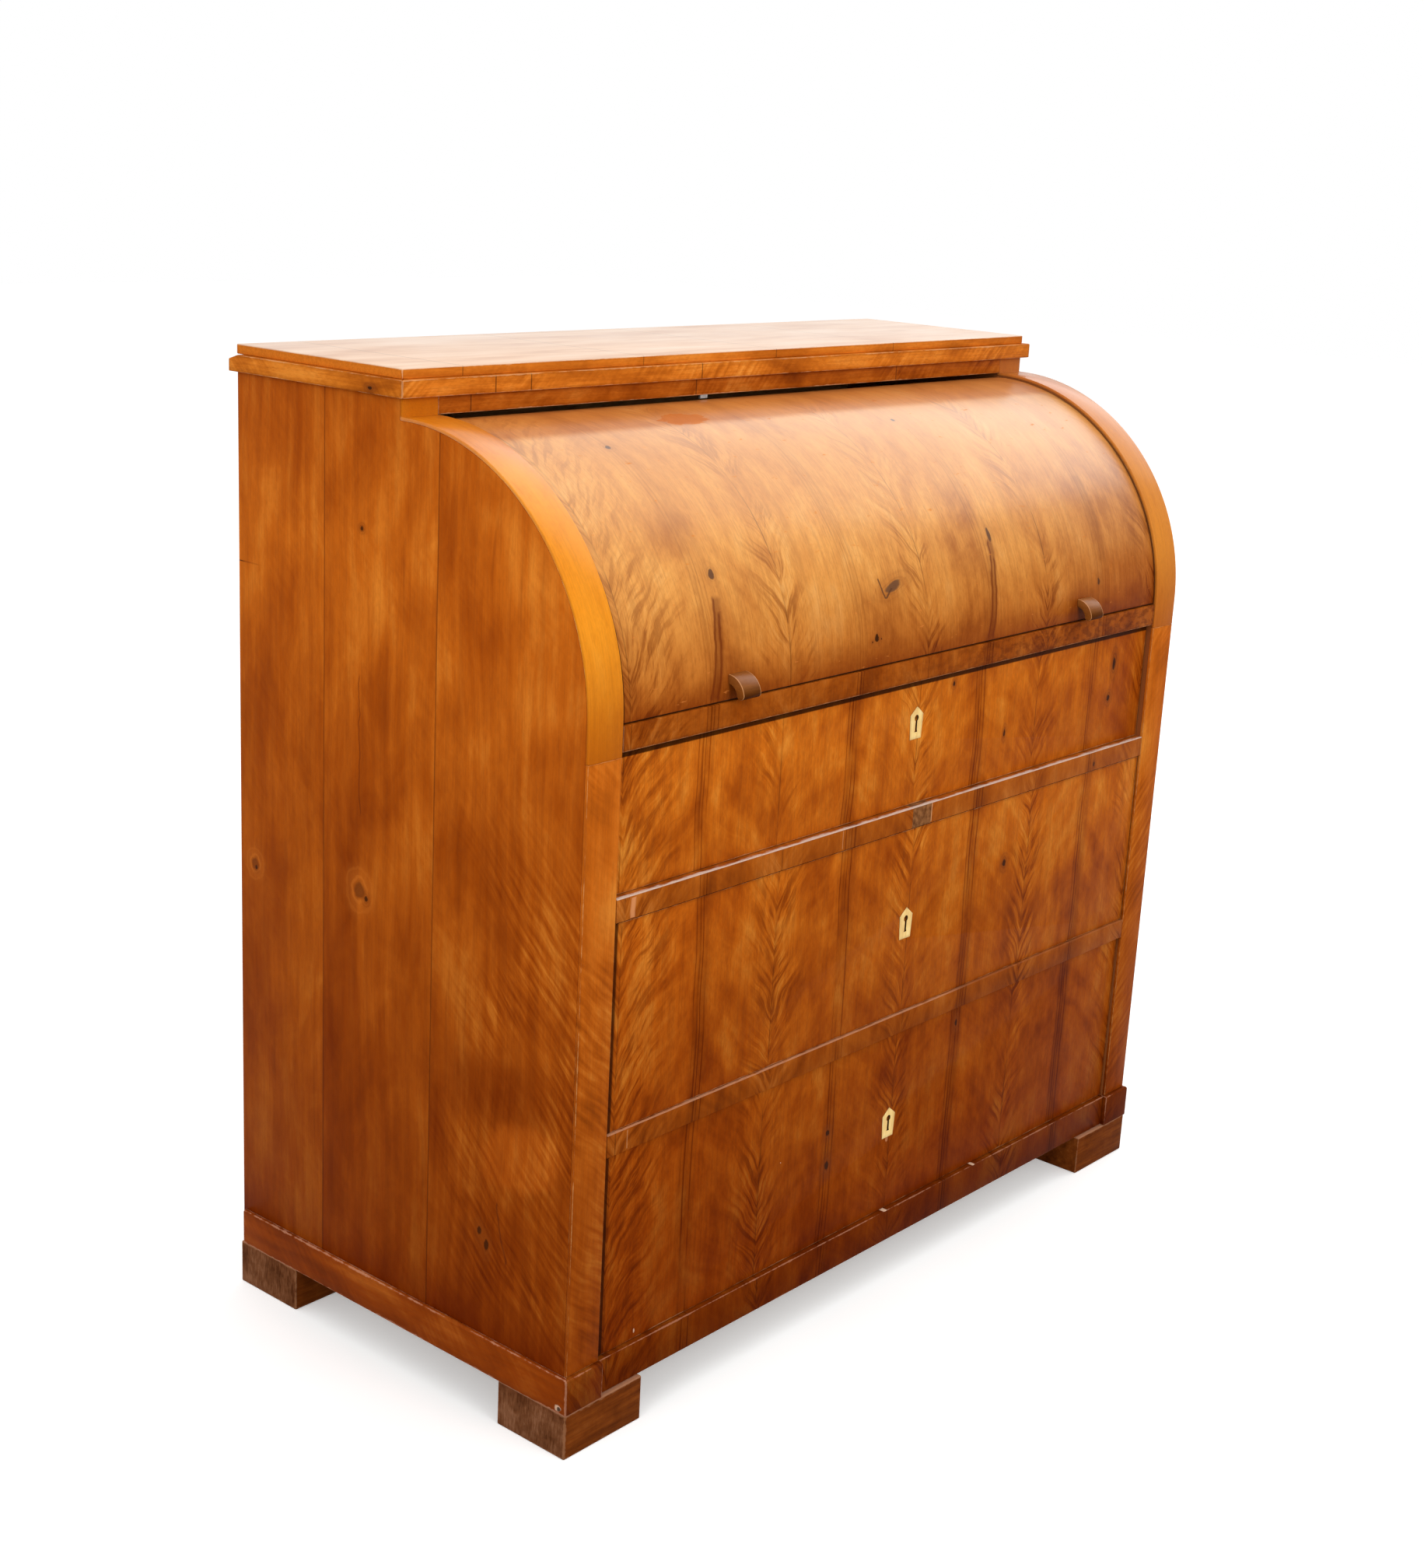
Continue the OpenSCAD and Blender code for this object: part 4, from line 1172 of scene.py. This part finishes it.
def refinish(node, finish):
    """Gives a CAD solid that stays its finish."""
    data = frame["nodes"][node].data
    data.materials.clear()
    data.materials.append(FINISHES[finish])


for hand in ("left", "right"):
    eased_copy("gable_" + hand, 0.0006, "side", "side")
    eased_copy("rim_" + hand, 0.0009, "rim")
    eased_copy("stile_" + hand, 0.0009, "stile")
    eased_copy("corner_block_" + hand, 0.0008, "base")
    eased_copy("plinth_" + hand, 0.0008, "plinth", "along depth")
    eased_copy("foot_front_" + hand, FOOT_EDGE, "foot", "along front")
    eased_copy("foot_rear_" + hand, FOOT_EDGE, "foot", "along front")
    eased_copy("cornice_" + hand, 0.001, "cornice side", "along depth")
    eased_copy("handle_" + hand, 0.0016, "handle", "along front", smooth=50.0)
    eased_copy("fall_rib_" + hand, 0.0008, "pine upright")
    refinish("lining_" + hand, "lining")
eased_copy("fall_shell", 0.0008, "fall", "front", FALL_CENTRE_Z)
eased_copy("writing_slide", 0.0006, "slide")
eased_copy("rail_upper", 0.0012, "rail")
eased_copy("rail_lower", 0.0012, "rail")
eased_copy("base_rail", 0.0012, "base")
eased_copy("frieze", 0.0006, "cornice", "along front")
eased_copy("cornice_front", 0.001, "cornice", "along front")
eased_copy("top_slab", 0.0012, "top", "along front")
for drawer in ("top", "middle", "bottom"):
    eased_copy(drawer + "_drawer_front", 0.0006, "drawer")
    eased_copy(drawer + "_drawer_escutcheon", 0.0002, "bone", segments=1)
    refinish(drawer + "_drawer_sides", "pine side")
    refinish(drawer + "_drawer_back", "pine back")
    refinish(drawer + "_drawer_bottom", "pine back")
    refinish(drawer + "_drawer_lock", "iron")
for board in ("bottom_board", "dust_board_upper", "dust_board_lower", "sub_top", "nest_back"):
    refinish(board, "pine back")
for board in ("nest_base", "nest_uprights", "nest_top"):
    refinish(board, "nest")
refinish("back_panel", "back boards")
refinish("slide_bearers", "pine side")
refinish("fall_pivots", "iron")
refinish("fall_stop", "tin")

# Floor, light and camera


def seen_directly(tree):
    """1 for what the camera, a mirror or glass sees, 0 for what only lights the desk."""
    rays = add(tree, "ShaderNodeLightPath").outputs
    seen = calc("MAXIMUM", rays["Is Camera Ray"], rays["Is Glossy Ray"])
    return calc("MAXIMUM", seen, rays["Is Transmission Ray"])


def make_floor():
    """A wide pale floor that looks white and still holds the desk's shadow."""
    shape = bmesh.new()
    bmesh.ops.create_grid(shape, x_segments=1, y_segments=1, size=14.0)
    data = bpy.data.meshes.new("floor")
    shape.to_mesh(data)
    shape.free()
    floor = bpy.data.objects.new("floor", data)
    bpy.context.scene.collection.objects.link(floor)
    material = bpy.data.materials.new("pale floor")
    tree = cleared(material)
    mottle = cloud(add(tree, "ShaderNodeTexCoord").outputs["Object"], 3.0, 3.0)
    pale = shades(mottle, [(0.3, paint(250, 250, 249)), (0.7, paint(254, 254, 253))])
    seen = seen_directly(tree)
    shader = add(tree, "ShaderNodeBsdfPrincipled", {
        "Roughness": 0.9,
        "Specular IOR Level": 0.1,
        "Base Color": mix(seen, paint(150, 142, 134), pale),
        "Emission Color": WHITE,
        "Emission Strength": times(seen, FLOOR_WHITE - WORLD_LIGHT),
    })
    add(tree, "ShaderNodeOutputMaterial", {"Surface": shader.outputs[0]})
    data.materials.append(material)


def make_world():
    """Even white light all round; the camera and mirrors see plain white."""
    world = bpy.data.worlds.new("studio")
    bpy.context.scene.world = world
    tree = cleared(world)
    strength = scaled(seen_directly(tree), 1.0 - WORLD_LIGHT, WORLD_LIGHT)
    shine = add(tree, "ShaderNodeBackground", {"Color": WHITE, "Strength": strength})
    add(tree, "ShaderNodeOutputWorld", {"Surface": shine.outputs[0]})


def make_lamp(name, at, towards, size, power):
    """A large soft lamp."""
    lamp = bpy.data.lights.new(name, "AREA")
    lamp.shape = "DISK"
    lamp.size = size
    lamp.energy = power
    holder = bpy.data.objects.new(name, lamp)
    bpy.context.scene.collection.objects.link(holder)
    holder.location = at
    holder.rotation_mode = "QUATERNION"
    holder.rotation_quaternion = (Vector(towards) - Vector(at)).to_track_quat("-Z", "Y")


def make_camera():
    """The camera at the photograph's place."""
    yaw, pitch, roll = (math.radians(angle) for angle in CAMERA_TURN)
    level = math.cos(pitch)
    ahead = Vector((math.sin(yaw) * level, math.cos(yaw) * level, math.sin(pitch)))
    right = Vector((math.cos(yaw), -math.sin(yaw), 0.0))
    up = right.cross(ahead)
    tilted_right = right * math.cos(roll) + up * math.sin(roll)
    tilted_up = up * math.cos(roll) - right * math.sin(roll)
    turn = Matrix((tilted_right, tilted_up, -ahead)).transposed()
    lens = bpy.data.cameras.new("camera")
    lens.sensor_fit = "AUTO"
    lens.sensor_width = SENSOR
    lens.lens = FOCAL_LENGTH / LONG_SIDE * SENSOR
    camera = bpy.data.objects.new("camera", lens)
    bpy.context.scene.collection.objects.link(camera)
    camera.matrix_world = Matrix.Translation(CAMERA_AT) @ turn.to_4x4()
    bpy.context.scene.camera = camera


make_floor()
make_world()
make_lamp("front softbox", (-0.6, -3.8, 2.4), (0.0, 0.0, 0.8), 2.6, 60.0)
make_lamp("left softbox", (-4.0, -0.6, 2.0), (0.0, 0.0, 0.7), 2.6, 52.0)
make_lamp("right window", (4.3, 0.2, 4.7), (0.0, 0.0, 0.9), 6.0, 130.0)
make_camera()
bpy.context.scene.view_settings.view_transform = "Standard"
